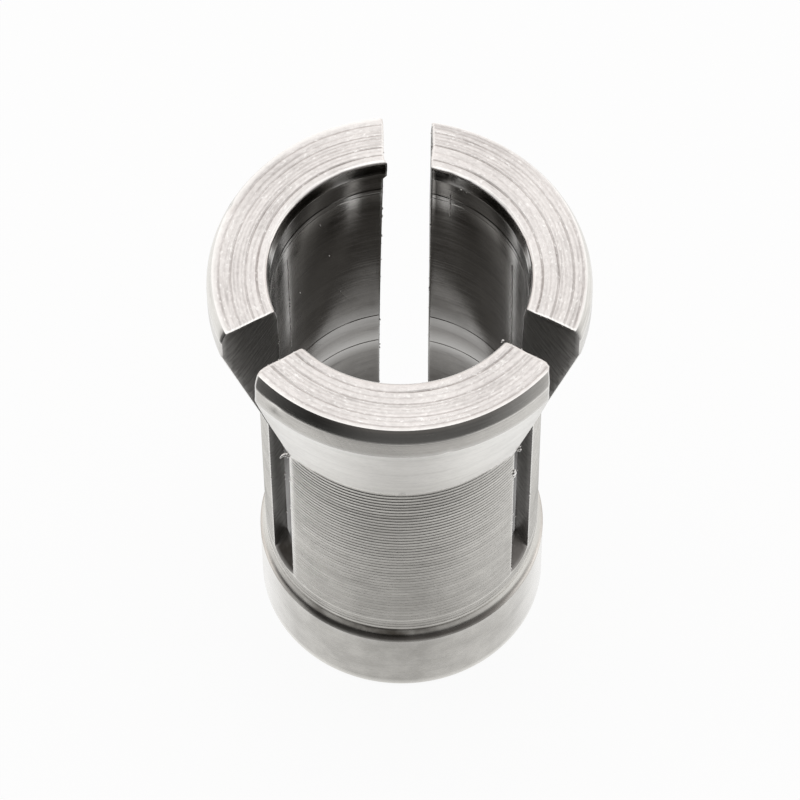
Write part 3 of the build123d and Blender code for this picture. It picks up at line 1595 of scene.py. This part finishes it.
@dataclass
class Burrs:
    """Burrs that the slotting saw left along its cuts: many grains by chance, and the few that stand out."""

    sleeve: SlottedSleeve
    grains_in_bore: int = 16
    grains_outside: int = 9
    grains_on_face: int = 5
    smallest: float = 0.014
    largest: float = 0.042
    roughness: float = 0.6
    seed: int = 11
    right_jaw_sprung: float = 0.12
    score_radius: float = 3.997
    score_step: float = 0.22

    def _grain(self, place: Vector, chance: random.Random, stretch: float) -> Burr:
        """A grain by chance at a place, drawn out along the edge.

        Args:
            place: its centre, in millimetres.
            chance: the random numbers.
            stretch: how many times its size it is long.

        Returns:
            The grain.
        """
        size = self.smallest + (self.largest - self.smallest) * chance.random() ** 2.5
        turn = (chance.uniform(-0.4, 0.4), chance.uniform(-0.4, 0.4), chance.uniform(-3.1, 3.1))
        return Burr(tuple(place), (size * 0.7, size * 0.6, size * stretch), turn)

    def _spots(self) -> list[Burr]:
        """All the burrs: along the bore's edges, along the outside's, and on the face's.

        Returns:
            The burrs.
        """
        chance = random.Random(self.seed)
        section = self.sleeve.section
        place = self.sleeve.edge_place
        made = []
        for jaw in self.sleeve.jaws:
            for at_start in (True, False):
                for _ in range(self.grains_in_bore):
                    height = chance.uniform(section.slot_foot_bore + 0.3, section.total_length - 0.55)
                    spot = place(jaw, at_start, section.bore_radius + 0.02, height)
                    made.append(self._grain(spot, chance, 2.2))
                for _ in range(self.grains_outside):
                    height = chance.uniform(section.slot_foot + 0.2, section.cone_bottom)
                    spot = place(jaw, at_start, section.body_radius - 0.03, height)
                    made.append(self._grain(spot, chance, 2.0))
                for _ in range(self.grains_on_face):
                    radius = chance.uniform(section.rim_outer_radius, section.head_radius - 0.4)
                    spot = place(jaw, at_start, radius, section.total_length - 0.03)
                    made.append(self._grain(spot, chance, 0.8))
        return made + self._on_front_jaw() + self._in_bore()

    def _on_front_jaw(self) -> list[Burr]:
        """The burrs that stand out on the front jaw's walls, and the curled one at its mouth.

        Returns:
            The burrs.
        """
        front = self.sleeve.jaws[2]
        made = []
        for group in FRONT_BURRS:
            for height, size, out in group.grains:
                place = self.sleeve.edge_place(front, group.at_start, group.radius, height)
                place += Vector((-out, 0.0, 0.0))
                made.append(Burr(tuple(place), tuple(share * size for share in group.shape), group.turn))
        for part in range(7):
            bend = part / 6
            arch = math.sin(3.1 * bend)
            curl = Vector((-0.17 + 0.17 * bend, 0.05 * arch + 0.02, 0.01 * arch))
            place = self.sleeve.edge_place(front, False, 4.17 - 0.02 * part, 18.15) + curl
            made.append(Burr(tuple(place), (0.022, 0.012 + 0.008 * bend, 0.012), (0.0, 0.0, 0.5 * bend)))
        return made

    def _in_bore(self) -> list[Burr]:
        """The chips in the mouth and the scores down the bore. The right jaw's have sprung with it.

        Returns:
            The chips, then the scores.
        """
        made = []
        for part, (bearing, height, size) in enumerate(MOUTH_CHIPS):
            turn = math.radians(bearing)
            radius = self.sleeve.section.bore_radius + (0.05 if height > 17.0 else 0.0)
            sprung = self.right_jaw_sprung if bearing < 90 else 0.0
            place = (radius * math.cos(turn), radius * math.sin(turn) - sprung, height)
            made.append(Burr(place, (1.5 * size, 0.5 * size, size), (0.9 * part, 0.2 * part, turn)))
        for bearing, high, low, sway, thick in BORE_SCORES:
            steps = max(3, round((high - low) / self.score_step))
            sprung = self.right_jaw_sprung if bearing < 90 else 0.0
            for part in range(steps):
                swing = math.sin(2.1 * part) + 0.6 * math.sin(5.3 * part + 1.0)
                turn = math.radians(bearing + sway * swing)
                x, y = self.score_radius * math.cos(turn), self.score_radius * math.sin(turn) - sprung
                height = high + (low - high) * (part + 0.5) / steps
                size = (0.4 * thick, thick, 0.62 * (high - low) / steps)
                made.append(Burr((x, y, height), size, (0.0, 0.05 * math.sin(3.0 * part), turn)))
        return made

    def _tree(self, material: bpy.types.Material) -> bpy.types.GeometryNodeTree:
        """Geometry nodes that set a ragged grain on every point, with the point's own size and turn.

        Args:
            material: the steel that the grains are dressed in.

        Returns:
            The node tree.
        """
        graph, given, end = new_geometry_tree("Torn steel grains", ("Raggedness",))
        grain = graph.node("GeometryNodeMeshIcoSphere")
        grain.inputs["Radius"].default_value = 1.0
        grain.inputs["Subdivisions"].default_value = 2
        where = graph.node("GeometryNodeInputPosition").outputs[0]
        uneven = graph.minus(graph.noise(where, given["Seed"], 1.1, 2.0), 0.5)
        swell = graph.times(uneven, given["Raggedness"])
        shift = graph.node("ShaderNodeVectorMath", operation="SCALE")
        graph.feed(shift.inputs[0], where)
        graph.feed(shift.inputs["Scale"], graph.times(swell, 2.0))
        torn = graph.step("GeometryNodeSetPosition", grain.outputs["Mesh"], Offset=shift.outputs[0])
        points = graph.node("GeometryNodeMeshToPoints")
        graph.feed(points.inputs["Mesh"], given["Geometry"])
        spread = graph.node("GeometryNodeInstanceOnPoints")
        graph.feed(spread.inputs["Points"], points.outputs["Points"])
        graph.feed(spread.inputs["Instance"], torn)
        for title, socket in (("grain_turn", "Rotation"), ("grain_size", "Scale")):
            graph.feed(spread.inputs[socket], graph.attribute(title, "FLOAT_VECTOR"))
        flow = graph.step("GeometryNodeRealizeInstances", spread.outputs["Instances"])
        flow = graph.step("GeometryNodeSetShadeSmooth", flow)
        flow = graph.step("GeometryNodeSetMaterial", flow, Material=material)
        graph.feed(end.inputs["Geometry"], flow)
        return graph.tree

    def build(self, material: bpy.types.Material) -> bpy.types.Object:
        """Makes the burrs as one mesh.

        Args:
            material: the steel they are dressed in.

        Returns:
            The object, with no modifier left on it.
        """
        burrs = self._spots()
        mesh = bpy.data.meshes.new("burr_points")
        mesh.from_pydata([tuple(MM * value for value in burr.place) for burr in burrs], [], [])
        # Every burr is painted fully bright, as worn steel and as a painted highlight
        worn = mesh.attributes.new("edge_wear", "FLOAT", "POINT")
        worn.data.foreach_set("value", [1.0] * len(burrs))
        sizes = [tuple(MM * value for value in burr.size) for burr in burrs]
        turns = [burr.turn for burr in burrs]
        for title, values in (("grain_size", sizes), ("grain_turn", turns)):
            held = mesh.attributes.new(title, "FLOAT_VECTOR", "POINT")
            held.data.foreach_set("vector", np.array(values, dtype=np.float32).ravel())
        blank = add_object("burr_points", mesh)
        values = {"Raggedness": self.roughness, "Seed": self.seed}
        return bake_nodes(blank, self._tree(material), values, "collet_burrs", ("grain_size", "grain_turn"))


# Finishes

# Colours, linear: bright steel of worn edges and painted highlights, and the dark of painted shade
WORN_STEEL_AND_PAINTED_SHINE = (0.92, 0.905, 0.88)
PAINTED_SHADE_COLOUR = (0.045, 0.038, 0.03)

# How far a wall has turned away from the view when the painted highlight on its limb begins, and when it is
# full
LIMB_HIGHLIGHT_RANGE = (0.64, 0.93)


def turning_lines_group() -> bpy.types.NodeTree:
    """Fine lines that run round the axis, from object coordinates: rings on a face, hoops on a wall.

    Returns:
        The node group: fine lines, a few long thin scores, and patches where the lines are stronger.
    """
    inputs = {"Fineness": 20.0, "Sweep": 2.0, "Seed": 0.0, "Sharpness": 0.2, "Score Fineness": 3.0}
    graph, given, end = new_group("Turning lines", inputs, ["Lines", "Scores", "Broken"])
    x, y, z = graph.split(graph.node("ShaderNodeTexCoord").outputs["Object"])
    radius = graph.from_axis(x, y)
    safe = graph.math("MAXIMUM", radius, 1e-5)
    round_x, round_y = graph.math("DIVIDE", x, safe), graph.math("DIVIDE", y, safe)
    across = graph.times(graph.plus(radius, graph.times(z, 1.37)), 1000.0)
    seed = given["Seed"]

    def along_the_turn(sweep: object, fineness: object) -> Socket:
        """Coordinates drawn out along the turning, for a noise."""
        drawn_x, drawn_y = graph.times(round_x, sweep), graph.times(round_y, sweep)
        return graph.join(drawn_x, drawn_y, graph.times(across, fineness))

    raw = graph.noise(along_the_turn(given["Sweep"], given["Fineness"]), seed, 1.0, 2.0, 0.45)
    lines = graph.node("ShaderNodeMapRange", interpolation_type="LINEAR")
    graph.feed(lines.inputs["Value"], raw)
    graph.feed(lines.inputs["From Min"], graph.minus(0.5, given["Sharpness"]))
    graph.feed(lines.inputs["From Max"], graph.plus(0.5, given["Sharpness"]))
    sparse = graph.noise(along_the_turn(0.8, given["Score Fineness"]), graph.plus(seed, 11.0), 1.0, 2.0, 0.5)
    scores = graph.remap(graph.math("ABSOLUTE", graph.minus(sparse, 0.5)), 0.004, 0.03, 1.0, 0.0)
    patches = graph.noise(along_the_turn(1.7, 2.2), graph.plus(seed, 5.0), 1.0, 2.0)
    graph.feed(end.inputs["Lines"], lines.outputs["Result"])
    graph.feed(end.inputs["Scores"], scores)
    graph.feed(end.inputs["Broken"], graph.remap(patches, 0.38, 0.66))
    return graph.tree


def handling_group() -> bpy.types.NodeTree:
    """What use leaves on bright steel: broad smudges of oil, fine scratches and bright worn edges; with them
    painted edge highlights, painted glints and painted shade.

    Returns:
        The node group.
    """
    inputs = {"Smudge Scale": 400.0, "Scratch Scale": 900.0, "Seed": 0.0}
    outputs = ["Smudge", "Scratches", "Edge", "Grain", "Glints", "Mark", "Painted Shade"]
    graph, given, end = new_group("Handling", inputs, outputs)
    place = graph.node("ShaderNodeTexCoord").outputs["Object"]
    seed = given["Seed"]
    smudge = graph.noise(place, seed, given["Smudge Scale"], 3.0, 0.6)
    graph.feed(end.inputs["Smudge"], graph.remap(smudge, 0.35, 0.7))
    x, y, z = graph.split(place)
    slant_x = graph.plus(x, graph.times(z, 0.6))
    slant_y = graph.times(graph.plus(y, graph.times(x, 0.7)), 0.12)
    slant = graph.join(slant_x, slant_y, graph.times(z, 0.25))
    thin = graph.noise(slant, graph.plus(seed, 3.0), given["Scratch Scale"], 2.0, 0.5)
    scratches = graph.remap(graph.math("ABSOLUTE", graph.minus(thin, 0.5)), 0.0, 0.022, 1.0, 0.0)
    graph.feed(end.inputs["Scratches"], scratches)
    # Worn edges with their painted highlight, and each feed mark's share of its depth
    for title, name in (("Edge", "edge_wear"), ("Mark", "feed_mark")):
        graph.feed(end.inputs[title], graph.node("ShaderNodeAttribute", attribute_name=name).outputs["Fac"])
    # Painted shade, mottled by a cloud
    painted_shade = graph.node("ShaderNodeAttribute", attribute_name="oil_film").outputs["Fac"]
    cloud = graph.noise(place, graph.plus(seed, 17.0), 900.0, 3.0, 0.6)
    graph.feed(end.inputs["Painted Shade"], graph.times(painted_shade, graph.remap(cloud, 0.3, 0.7, 0.75, 1.15)))
    around = graph.times(graph.math("ARCTAN2", y, x), 0.0025)
    drawn = graph.join(graph.from_axis(x, y), around, z)
    graph.feed(end.inputs["Grain"], graph.noise(drawn, graph.plus(seed, 9.0), 12000.0, 2.0, 0.6))
    # Painted glints: bright flecks drawn out along the turning
    glints = graph.noise(drawn, graph.plus(seed, 23.0), 13000.0, 1.0, 0.5)
    graph.feed(end.inputs["Glints"], graph.remap(glints, 0.58, 0.74))
    return graph.tree


def saw_marks_group() -> bpy.types.NodeTree:
    """Arcs that the slotting saw's teeth left as it came down: equal arcs, one under the other.

    Returns:
        The node group.
    """
    inputs = {"Saw Radius": 20.0, "Saw Axis": 20.5, "Fineness": 9.0, "Seed": 0.0}
    graph, given, end = new_group("Saw marks", inputs, ["Marks", "Fine"])
    x, y, z = graph.split(graph.node("ShaderNodeTexCoord").outputs["Object"])
    radius = graph.times(graph.from_axis(x, y), 1000.0)
    reach = graph.minus(given["Saw Axis"], radius)
    square = graph.times(given["Saw Radius"], given["Saw Radius"])
    drop = graph.math("SQRT", graph.minus(square, graph.times(reach, reach)))
    turn = graph.plus(graph.times(z, 1000.0), drop)
    along = graph.times(graph.minus(radius, graph.times(z, 600.0)), 0.9)
    spot = graph.join(graph.times(turn, given["Fineness"]), along, graph.times(y, 30.0))
    graph.feed(end.inputs["Marks"], graph.remap(graph.noise(spot, given["Seed"], 1.0, 3.0, 0.6), 0.3, 0.7))
    fine = graph.join(graph.times(turn, graph.times(given["Fineness"], 3.1)), graph.times(along, 1.7), 0.0)
    graph.feed(end.inputs["Fine"], graph.noise(fine, graph.plus(given["Seed"], 4.0), 1.0, 2.0, 0.5))
    return graph.tree


@dataclass(frozen=True)
class SteelFinish:
    """Bright steel as one tool left it.

    Colours are linear, heights are in metres and fineness is in lines per millimetre.
    """

    name: str
    colour: tuple[float, float, float]
    shade: tuple[float, float, float]
    seed: float
    roughness: float
    roughness_spread: float = 0.08
    anisotropy: float = 0.3
    line_fineness: float = 20.0
    line_sweep: float = 1.2
    line_height: float = 0.6e-6
    line_shade: float = 0.3
    score_fineness: float = 1.6
    score_shade: float = 0.25
    # How much painted shade darkens the hollows of the feed marks, and how closely it keeps to their middle
    mark_shade: float = 0.4
    mark_power: float = 1.0
    grain_height: float = 0.4e-6
    grain_shade: float = 0.3
    scratch_height: float = 0.7e-6
    # Painted highlights: on worn edges, which are also really brighter, on limbs turned away from the view,
    # and in glints
    edge_brightness: float = 0.6
    limb_highlight: float = 0.0
    painted_glint: float = 0.1
    saw_height: float = 0.0
    smudge_shade: float = 0.1
    smudge_roughness: float = 0.06

    def material(self, groups: dict[str, bpy.types.NodeTree]) -> bpy.types.Material:
        """Builds the finish's material.

        Args:
            groups: the shared node groups, by name.

        Returns:
            The material.
        """
        made = bpy.data.materials.new(self.name)
        made.use_nodes = True
        graph = Graph(made.node_tree)
        shader = made.node_tree.nodes["Principled BSDF"]
        shader.inputs["Metallic"].default_value = 1.0
        shader.inputs["Anisotropic"].default_value = self.anisotropy

        def placed(group: str, **values: float) -> bpy.types.NodeOutputs:
            """What a shared group gives with this finish's own values.

            Args:
                group: the group's short name.
                **values: its inputs, with _ for a space.

            Returns:
                Its outputs.
            """
            node = graph.node("ShaderNodeGroup", node_tree=groups[group])
            for title, value in values.items():
                node.inputs[title.replace("_", " ")].default_value = value
            return node.outputs

        handling = placed("handling", Seed=self.seed)
        if self.saw_height:
            marks = placed("saw", Seed=self.seed)
            pattern = graph.plus(graph.times(marks["Marks"], 0.7), graph.times(marks["Fine"], 0.3))
            shade = graph.times(marks["Marks"], self.line_shade)
            height = self.saw_height
        else:
            lines = placed(
                "lines",
                Fineness=self.line_fineness,
                Sweep=self.line_sweep,
                Seed=self.seed,
                Score_Fineness=self.score_fineness,
            )
            pattern = lines["Lines"]
            broken = graph.plus(graph.times(lines["Broken"], 0.7), 0.3)
            shade = graph.times(graph.times(graph.minus(1.0, pattern), broken), self.line_shade)
            scores = graph.times(graph.times(lines["Scores"], lines["Broken"]), self.score_shade)
            shade = graph.plus(shade, scores)
            height = self.line_height
            tangent = graph.node("ShaderNodeTangent", direction_type="RADIAL", axis="Z")
            graph.feed(shader.inputs["Tangent"], tangent.outputs[0])

        # Painted shade in the hollows of the feed marks, facing rings and witness lines
        thin = graph.math("POWER", handling["Mark"], self.mark_power)
        shade = graph.plus(shade, graph.times(thin, self.mark_shade))
        shade = graph.plus(shade, graph.times(handling["Smudge"], self.smudge_shade))
        speckle = graph.times(graph.minus(handling["Grain"], 0.5), self.grain_shade)
        colour = graph.blend(graph.plus(shade, speckle, clamp=True), self.colour, self.shade)
        # Painted highlights, on worn edges and in glints, blend the colour towards bright steel
        edge = graph.times(handling["Edge"], self.edge_brightness)
        bright = graph.math("MAXIMUM", edge, graph.times(handling["Glints"], self.painted_glint))
        # Painted shade darkens the colour towards its dark
        painted_shade = handling["Painted Shade"]
        # Painted highlight: a wall turned away from the view is painted brighter, and its painted shade
        # thinner
        if self.limb_highlight:
            view = graph.node("ShaderNodeLayerWeight")
            limb_highlight = graph.remap(view.outputs["Facing"], *LIMB_HIGHLIGHT_RANGE, 0.0, self.limb_highlight)
            bright = graph.math("MAXIMUM", bright, limb_highlight)
            painted_shade = graph.times(painted_shade, graph.minus(1.0, limb_highlight))
        colour = graph.blend(painted_shade, graph.blend(bright, colour, WORN_STEEL_AND_PAINTED_SHINE), PAINTED_SHADE_COLOUR)
        graph.feed(shader.inputs["Base Color"], colour)

        plain = self.roughness - 0.5 * self.roughness_spread
        rough = graph.plus(graph.times(pattern, self.roughness_spread), plain)
        rough = graph.plus(rough, graph.times(handling["Smudge"], self.smudge_roughness))
        graph.feed(shader.inputs["Roughness"], rough)

        level = graph.times(pattern, height)
        level = graph.plus(level, graph.times(handling["Grain"], self.grain_height))
        level = graph.minus(level, graph.times(handling["Scratches"], self.scratch_height))
        bump = graph.node("ShaderNodeBump")
        bump.inputs["Strength"].default_value = 1.0
        bump.inputs["Distance"].default_value = 1.0
        graph.feed(bump.inputs["Height"], level)
        graph.feed(shader.inputs["Normal"], bump.outputs["Normal"])
        return made


# The finest turning, of the land and of the rounded corner, whose brighter copy is a painted highlight
FINE_TURNED = SteelFinish("steel_fine_turned", (0.645, 0.625, 0.59), (0.34, 0.325, 0.30), 3.0, 0.22)

FINISHES: dict[Finish, SteelFinish] = {
    Finish.TURNED: SteelFinish(
        "steel_turned",
        (0.82, 0.80, 0.755),
        (0.18, 0.172, 0.157),
        seed=1.0,
        roughness=0.24,
        line_fineness=13.0,
        line_height=0.5e-6,
        line_shade=0.1,
        score_fineness=1.5,
        score_shade=0.08,
        mark_shade=0.5,
        mark_power=3.0,
        grain_height=0.5e-6,
        scratch_height=0.5e-6,
        edge_brightness=0.5,
        limb_highlight=0.85,
    ),
    Finish.FACED: SteelFinish(
        "steel_faced",
        (0.715, 0.682, 0.661),
        (0.24, 0.218, 0.207),
        seed=2.0,
        roughness=0.28,
        roughness_spread=0.12,
        line_fineness=9.0,
        line_sweep=0.9,
        line_height=2.0e-6,
        score_fineness=2.6,
        score_shade=0.2,
        mark_shade=0.55,
        grain_height=0.8e-6,
        grain_shade=0.7,
        scratch_height=1.2e-6,
        edge_brightness=0.75,
        painted_glint=0.5,
    ),
    Finish.POLISHED: FINE_TURNED,
    # A brighter copy of the fine turning: painted highlight on the rounded corner
    Finish.ROUNDED: replace(
        FINE_TURNED,
        name="steel_rounded_corner",
        colour=(0.86, 0.84, 0.80),
        shade=(0.45, 0.43, 0.40),
        seed=7.0,
        roughness=0.2,
    ),
    Finish.CONED: SteelFinish(
        "steel_satin_cone",
        (0.94, 0.925, 0.89),
        (0.46, 0.445, 0.42),
        seed=6.0,
        roughness=0.36,
        anisotropy=0.2,
        line_fineness=18.0,
        line_height=0.5e-6,
        line_shade=0.22,
        score_shade=0.12,
        grain_height=0.5e-6,
        grain_shade=0.5,
        edge_brightness=0.5,
    ),
    Finish.BORED: SteelFinish(
        "steel_bored",
        (0.43, 0.415, 0.395),
        (0.17, 0.16, 0.15),
        seed=4.0,
        roughness=0.14,
        line_fineness=10.0,
        line_sweep=0.5,
        line_height=0.4e-6,
        line_shade=0.25,
        score_fineness=1.2,
        score_shade=0.3,
        mark_shade=0.6,
        grain_height=0.3e-6,
        scratch_height=0.3e-6,
        edge_brightness=0.8,
    ),
    Finish.SAWN: SteelFinish(
        "steel_sawn",
        (0.36, 0.35, 0.335),
        (0.16, 0.153, 0.145),
        seed=5.0,
        roughness=0.42,
        roughness_spread=0.14,
        anisotropy=0.0,
        line_fineness=10.0,
        line_sweep=2.0,
        line_height=1.5e-6,
        line_shade=0.7,
        score_fineness=3.0,
        score_shade=0.3,
        mark_shade=0.0,
        grain_height=1.0e-6,
        scratch_height=1.0e-6,
        edge_brightness=0.5,
        saw_height=7.0e-6,
    ),
}


# Studio


@dataclass
class PhotoCamera:
    """The camera of the reference picture, aimed by the centre of the face. Lengths are in millimetres."""

    distance: float = 145.2
    elevation: float = 56.57
    focal_pixels: float = 4696.0
    picture_pixels: float = 800.0
    tilt: float = 1.58
    pan: float = 0.008
    roll: float = -0.47
    face_height: float = 18.2
    sensor_width: float = 36.0

    def build(self) -> None:
        """Makes the camera and gives it to the scene."""
        rise = math.radians(self.elevation)
        place = self.distance * Vector((0, -math.cos(rise), math.sin(rise)))
        forward = -place.normalized()
        right = Vector((1, 0, 0))
        down = forward.cross(right)
        base = Matrix((right, down, forward))
        turns = ((self.roll, "Z"), (self.tilt, "X"), (self.pan, "Y"))
        roll, tilt, pan = (Matrix.Rotation(math.radians(angle), 3, axis) for angle, axis in turns)
        turn = roll @ tilt @ pan @ base
        data = bpy.data.cameras.new("photo_camera")
        data.sensor_width = self.sensor_width
        data.lens = self.sensor_width * self.focal_pixels / self.picture_pixels
        data.clip_start, data.clip_end = 0.005, 5.0
        made = add_object("photo_camera", data)
        axes = Matrix((turn[0], -turn[1], -turn[2])).transposed()
        centre = Vector((0, 0, self.face_height))
        made.matrix_world = Matrix.Translation((place + centre) * MM) @ axes.to_4x4()
        bpy.context.scene.camera = made


@dataclass(frozen=True)
class Lamp:
    """A soft box: where it stands, where it aims, its size and its power. Lengths are in metres."""

    name: str
    place: tuple[float, float, float]
    aim: tuple[float, float, float]
    size: tuple[float, float]
    power: float

    def build(self) -> None:
        """Makes the lamp."""
        data = bpy.data.lights.new(self.name, "AREA")
        data.shape = "RECTANGLE"
        data.size, data.size_y = self.size
        data.energy = self.power
        made = add_object(self.name, data)
        made.location = self.place
        made.rotation_euler = (Vector(self.aim) - Vector(self.place)).to_track_quat("-Z", "Y").to_euler()


@dataclass
class Studio:
    """White table, pale surroundings and soft lamps. Lengths are in metres."""

    floor_half_size: float = 0.6
    floor_height: float = -0.00001
    floor_colour: float = 0.86
    camera_floor_share: float = 0.92
    mirrored_floor_share: float = 1.0
    # Painted shade on the table, which reflections and bounced light see but the camera doesn't: a wedge in
    # front and a far ring on the dark bearings
    near_shade: tuple[float, float, float] = (-0.003, 0.0075, 0.43)
    near_slope: float = 1.05
    far_shade: tuple[float, float] = (0.0158, 0.0207)
    far_power: float = 1.15
    # Painted shade on the table under the bore
    bore_edge: tuple[float, float] = (0.0040, 0.0047)
    mirrored_bore_edge: tuple[float, float] = (0.0044, 0.0049)
    floor_in_bore: float = 0.55
    bore_seen: float = 0.12
    painted_shade_in_bore: float = 0.3
    overhead: tuple[float, float, float] = (0.95, 0.95, 0.95)
    overhead_from: tuple[float, float] = (0.5, 0.86)
    warmth: tuple[float, float] = (0.95, 0.93)
    room_tones: tuple[tuple[float, float], ...] = (
        (-180.0, 0.95),
        (-105.0, 0.90),
        (-84.0, 0.12),
        (-45.0, 0.03),
        (-8.0, 0.13),
        (45.0, 0.15),
        (84.0, 0.42),
        (107.0, 0.90),
        (180.0, 0.95),
    )
    lamps: tuple[Lamp, ...] = (
        Lamp("softbox_behind", (0.0, 0.20, 0.30), (0.0, 0.0, 0.012), (0.36, 0.24), 0.10),
        Lamp("softbox_above", (0.0, -0.02, 0.40), (0.0, 0.0, 0.012), (0.26, 0.22), 0.12),
        Lamp("softbox_left", (-0.30, -0.02, 0.16), (0.0, 0.0, 0.010), (0.22, 0.22), 0.08),
        Lamp("softbox_right", (0.30, 0.02, 0.16), (0.0, 0.0, 0.010), (0.22, 0.22), 0.08),
    )

    def _tones(self) -> bpy.types.NodeTree:
        """The tone that the steel sees at each bearing from the camera's side, for the floor and the room.

        Returns:
            The node group.
        """
        graph, given, end = new_group("Tones by bearing", {"X": 0.0, "Y": 0.0}, ["Tone"])
        side = graph.math("ARCTAN2", given["X"], graph.times(given["Y"], -1.0))
        room = graph.node("ShaderNodeValToRGB")
        ramp = room.color_ramp
        ramp.interpolation = "EASE"
        for index, (bearing, tone) in enumerate(self.room_tones):
            place = bearing / 360.0 + 0.5
            stop = ramp.elements[index] if index < 2 else ramp.elements.new(place)
            stop.position = place
            stop.color = (tone, tone, tone, 1.0)
        graph.feed(room.inputs["Fac"], graph.plus(graph.math("DIVIDE", side, 2 * math.pi), 0.5))
        graph.feed(end.inputs["Tone"], room.outputs["Color"])
        return graph.tree

    def _tone(self, graph: Graph, tones: bpy.types.NodeTree, x: object, y: object) -> Socket:
        """The group's tone at one bearing.

        Args:
            graph: the graph that asks for it.
            tones: the group.
            x: the bearing's share across.
            y: its share away from the camera.

        Returns:
            The tone.
        """
        node = graph.node("ShaderNodeGroup", node_tree=tones)
        graph.feed(node.inputs["X"], x)
        graph.feed(node.inputs["Y"], y)
        return node.outputs["Tone"]

    def _floor(self, tones: bpy.types.NodeTree) -> None:
        """The white table, which keeps a faint shadow. It carries painted shade: a wedge in front and a far
        ring on the dark bearings, which only reflections and bounced light see, and a darker floor under the
        bore.

        Args:
            tones: the room's tones, by bearing.
        """
        half, height = self.floor_half_size, self.floor_height
        corners = [(x * half, y * half, height) for x, y in ((-1, -1), (1, -1), (1, 1), (-1, 1))]
        mesh = bpy.data.meshes.new("table_top")
        mesh.from_pydata(corners, [], [(0, 1, 2, 3)])
        made = add_object("table_top", mesh)
        material = bpy.data.materials.new("white_table")
        material.use_nodes = True
        graph = Graph(material.node_tree)
        nodes = material.node_tree.nodes
        nodes.remove(nodes["Principled BSDF"])
        seen = graph.node("ShaderNodeLightPath").outputs
        x, y, _ = graph.split(graph.node("ShaderNodeTexCoord").outputs["Object"])
        radius = graph.from_axis(x, y)
        # Painted shade seen in reflections: a wedge in front, and a far ring on the dark bearings
        wedge = graph.minus(graph.times(y, -1.0), graph.times(graph.math("ABSOLUTE", x), self.near_slope))
        near = graph.remap(wedge, *self.near_shade[:2], 0.0, self.near_shade[2])
        far = graph.remap(radius, *self.far_shade)
        dark = graph.minus(1.0, graph.math("POWER", self._tone(graph, tones, x, y), self.far_power))
        lit = graph.times(graph.minus(1.0, near), graph.minus(1.0, graph.times(far, dark)))
        clear = graph.times(lit, graph.remap(radius, *self.mirrored_bore_edge, self.floor_in_bore, 1.0))
        tone = graph.times(graph.math("MAXIMUM", lit, seen["Is Camera Ray"]), self.floor_colour)
        # Painted shade under the bore
        tone = graph.times(tone, graph.remap(radius, *self.bore_edge, self.painted_shade_in_bore, 1.0))
        paper = graph.node("ShaderNodeBsdfDiffuse")
        graph.feed(paper.inputs["Color"], graph.join(tone, tone, tone))
        white = graph.node("ShaderNodeEmission")
        white.inputs["Color"].default_value = (1.0, 1.0, 1.0, 1.0)
        white.inputs["Strength"].default_value = 1.0
        open_floor = graph.remap(radius, *self.bore_edge, self.bore_seen, 1.0)
        share = graph.times(seen["Is Camera Ray"], graph.times(open_floor, self.camera_floor_share))
        mirrored = graph.times(graph.times(seen["Is Glossy Ray"], clear), self.mirrored_floor_share)
        surface = graph.mix_shaders(graph.plus(share, mirrored, clamp=True), paper, white)
        graph.feed(nodes["Material Output"].inputs["Surface"], surface)
        mesh.materials.append(material)

    def _world(self, tones: bpy.types.NodeTree) -> None:
        """Surroundings: white to the camera, and to the steel bright overhead and dark low on its side.

        Args:
            tones: the room's tones, by bearing.
        """
        world = bpy.data.worlds.new("studio")
        bpy.context.scene.world = world
        world.use_nodes = True
        world.node_tree.nodes.clear()
        graph = Graph(world.node_tree)
        x, y, z = graph.split(graph.node("ShaderNodeTexCoord").outputs["Generated"])
        tone = self._tone(graph, tones, x, y)
        warm = graph.join(tone, *(graph.times(tone, share) for share in self.warmth))
        around = graph.node("ShaderNodeBackground")
        colour = graph.blend(graph.remap(z, *self.overhead_from), warm, self.overhead)
        graph.feed(around.inputs["Color"], colour)
        white = graph.node("ShaderNodeBackground")
        white.inputs["Color"].default_value = (1.0, 1.0, 1.0, 1.0)
        white.inputs["Strength"].default_value = 1.0
        seen = graph.node("ShaderNodeLightPath").outputs["Is Camera Ray"]
        end = graph.node("ShaderNodeOutputWorld")
        graph.feed(end.inputs["Surface"], graph.mix_shaders(seen, around, white))

    def build(self) -> None:
        """Makes the floor, the surroundings and the lamps, and sets the plain view transform."""
        tones = self._tones()
        self._floor(tones)
        self._world(tones)
        for lamp in self.lamps:
            lamp.build()
        bpy.context.scene.view_settings.view_transform = "Standard"


# Assembly

# The three jaws as the photograph shows them, seen from the front
JAWS: tuple[Jaw, Jaw, Jaw] = (
    Jaw("right", SlotWall(330, 0.60, 0.69), SlotWall(90, 0.93, 1.02), (0.0, -0.13)),
    Jaw("left", SlotWall(90, 0.72, 0.47, lip=0.12), SlotWall(210, 0.71, 0.67), (-0.012, -0.015)),
    Jaw(
        "front",
        SlotWall(210, 0.57, 0.92, corner_wear=0.25, strip=0.23, rolled=0.08),
        SlotWall(330, 0.56, 0.66, corner_wear=0.45),
        (0.05, -0.01),
    ),
)


def main() -> None:
    """Builds the collet's looks and the studio round it."""
    groups = {"lines": turning_lines_group(), "handling": handling_group(), "saw": saw_marks_group()}
    materials = [FINISHES[finish].material(groups) for finish in Finish]
    sleeve = SlottedSleeve(TurnedSection(), JAWS)
    piece = sleeve.build(materials)
    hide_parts("collet")
    burrs = Burrs(sleeve).build(materials[Finish.FACED.value])
    for made in (piece, burrs):
        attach(made, "root")
        LOG.info("%s: %d vertices, %d faces", made.name, len(made.data.vertices), len(made.data.polygons))
    PhotoCamera().build()
    Studio().build()
    bpy.context.view_layer.update()


if __name__ == "__main__":
    main()
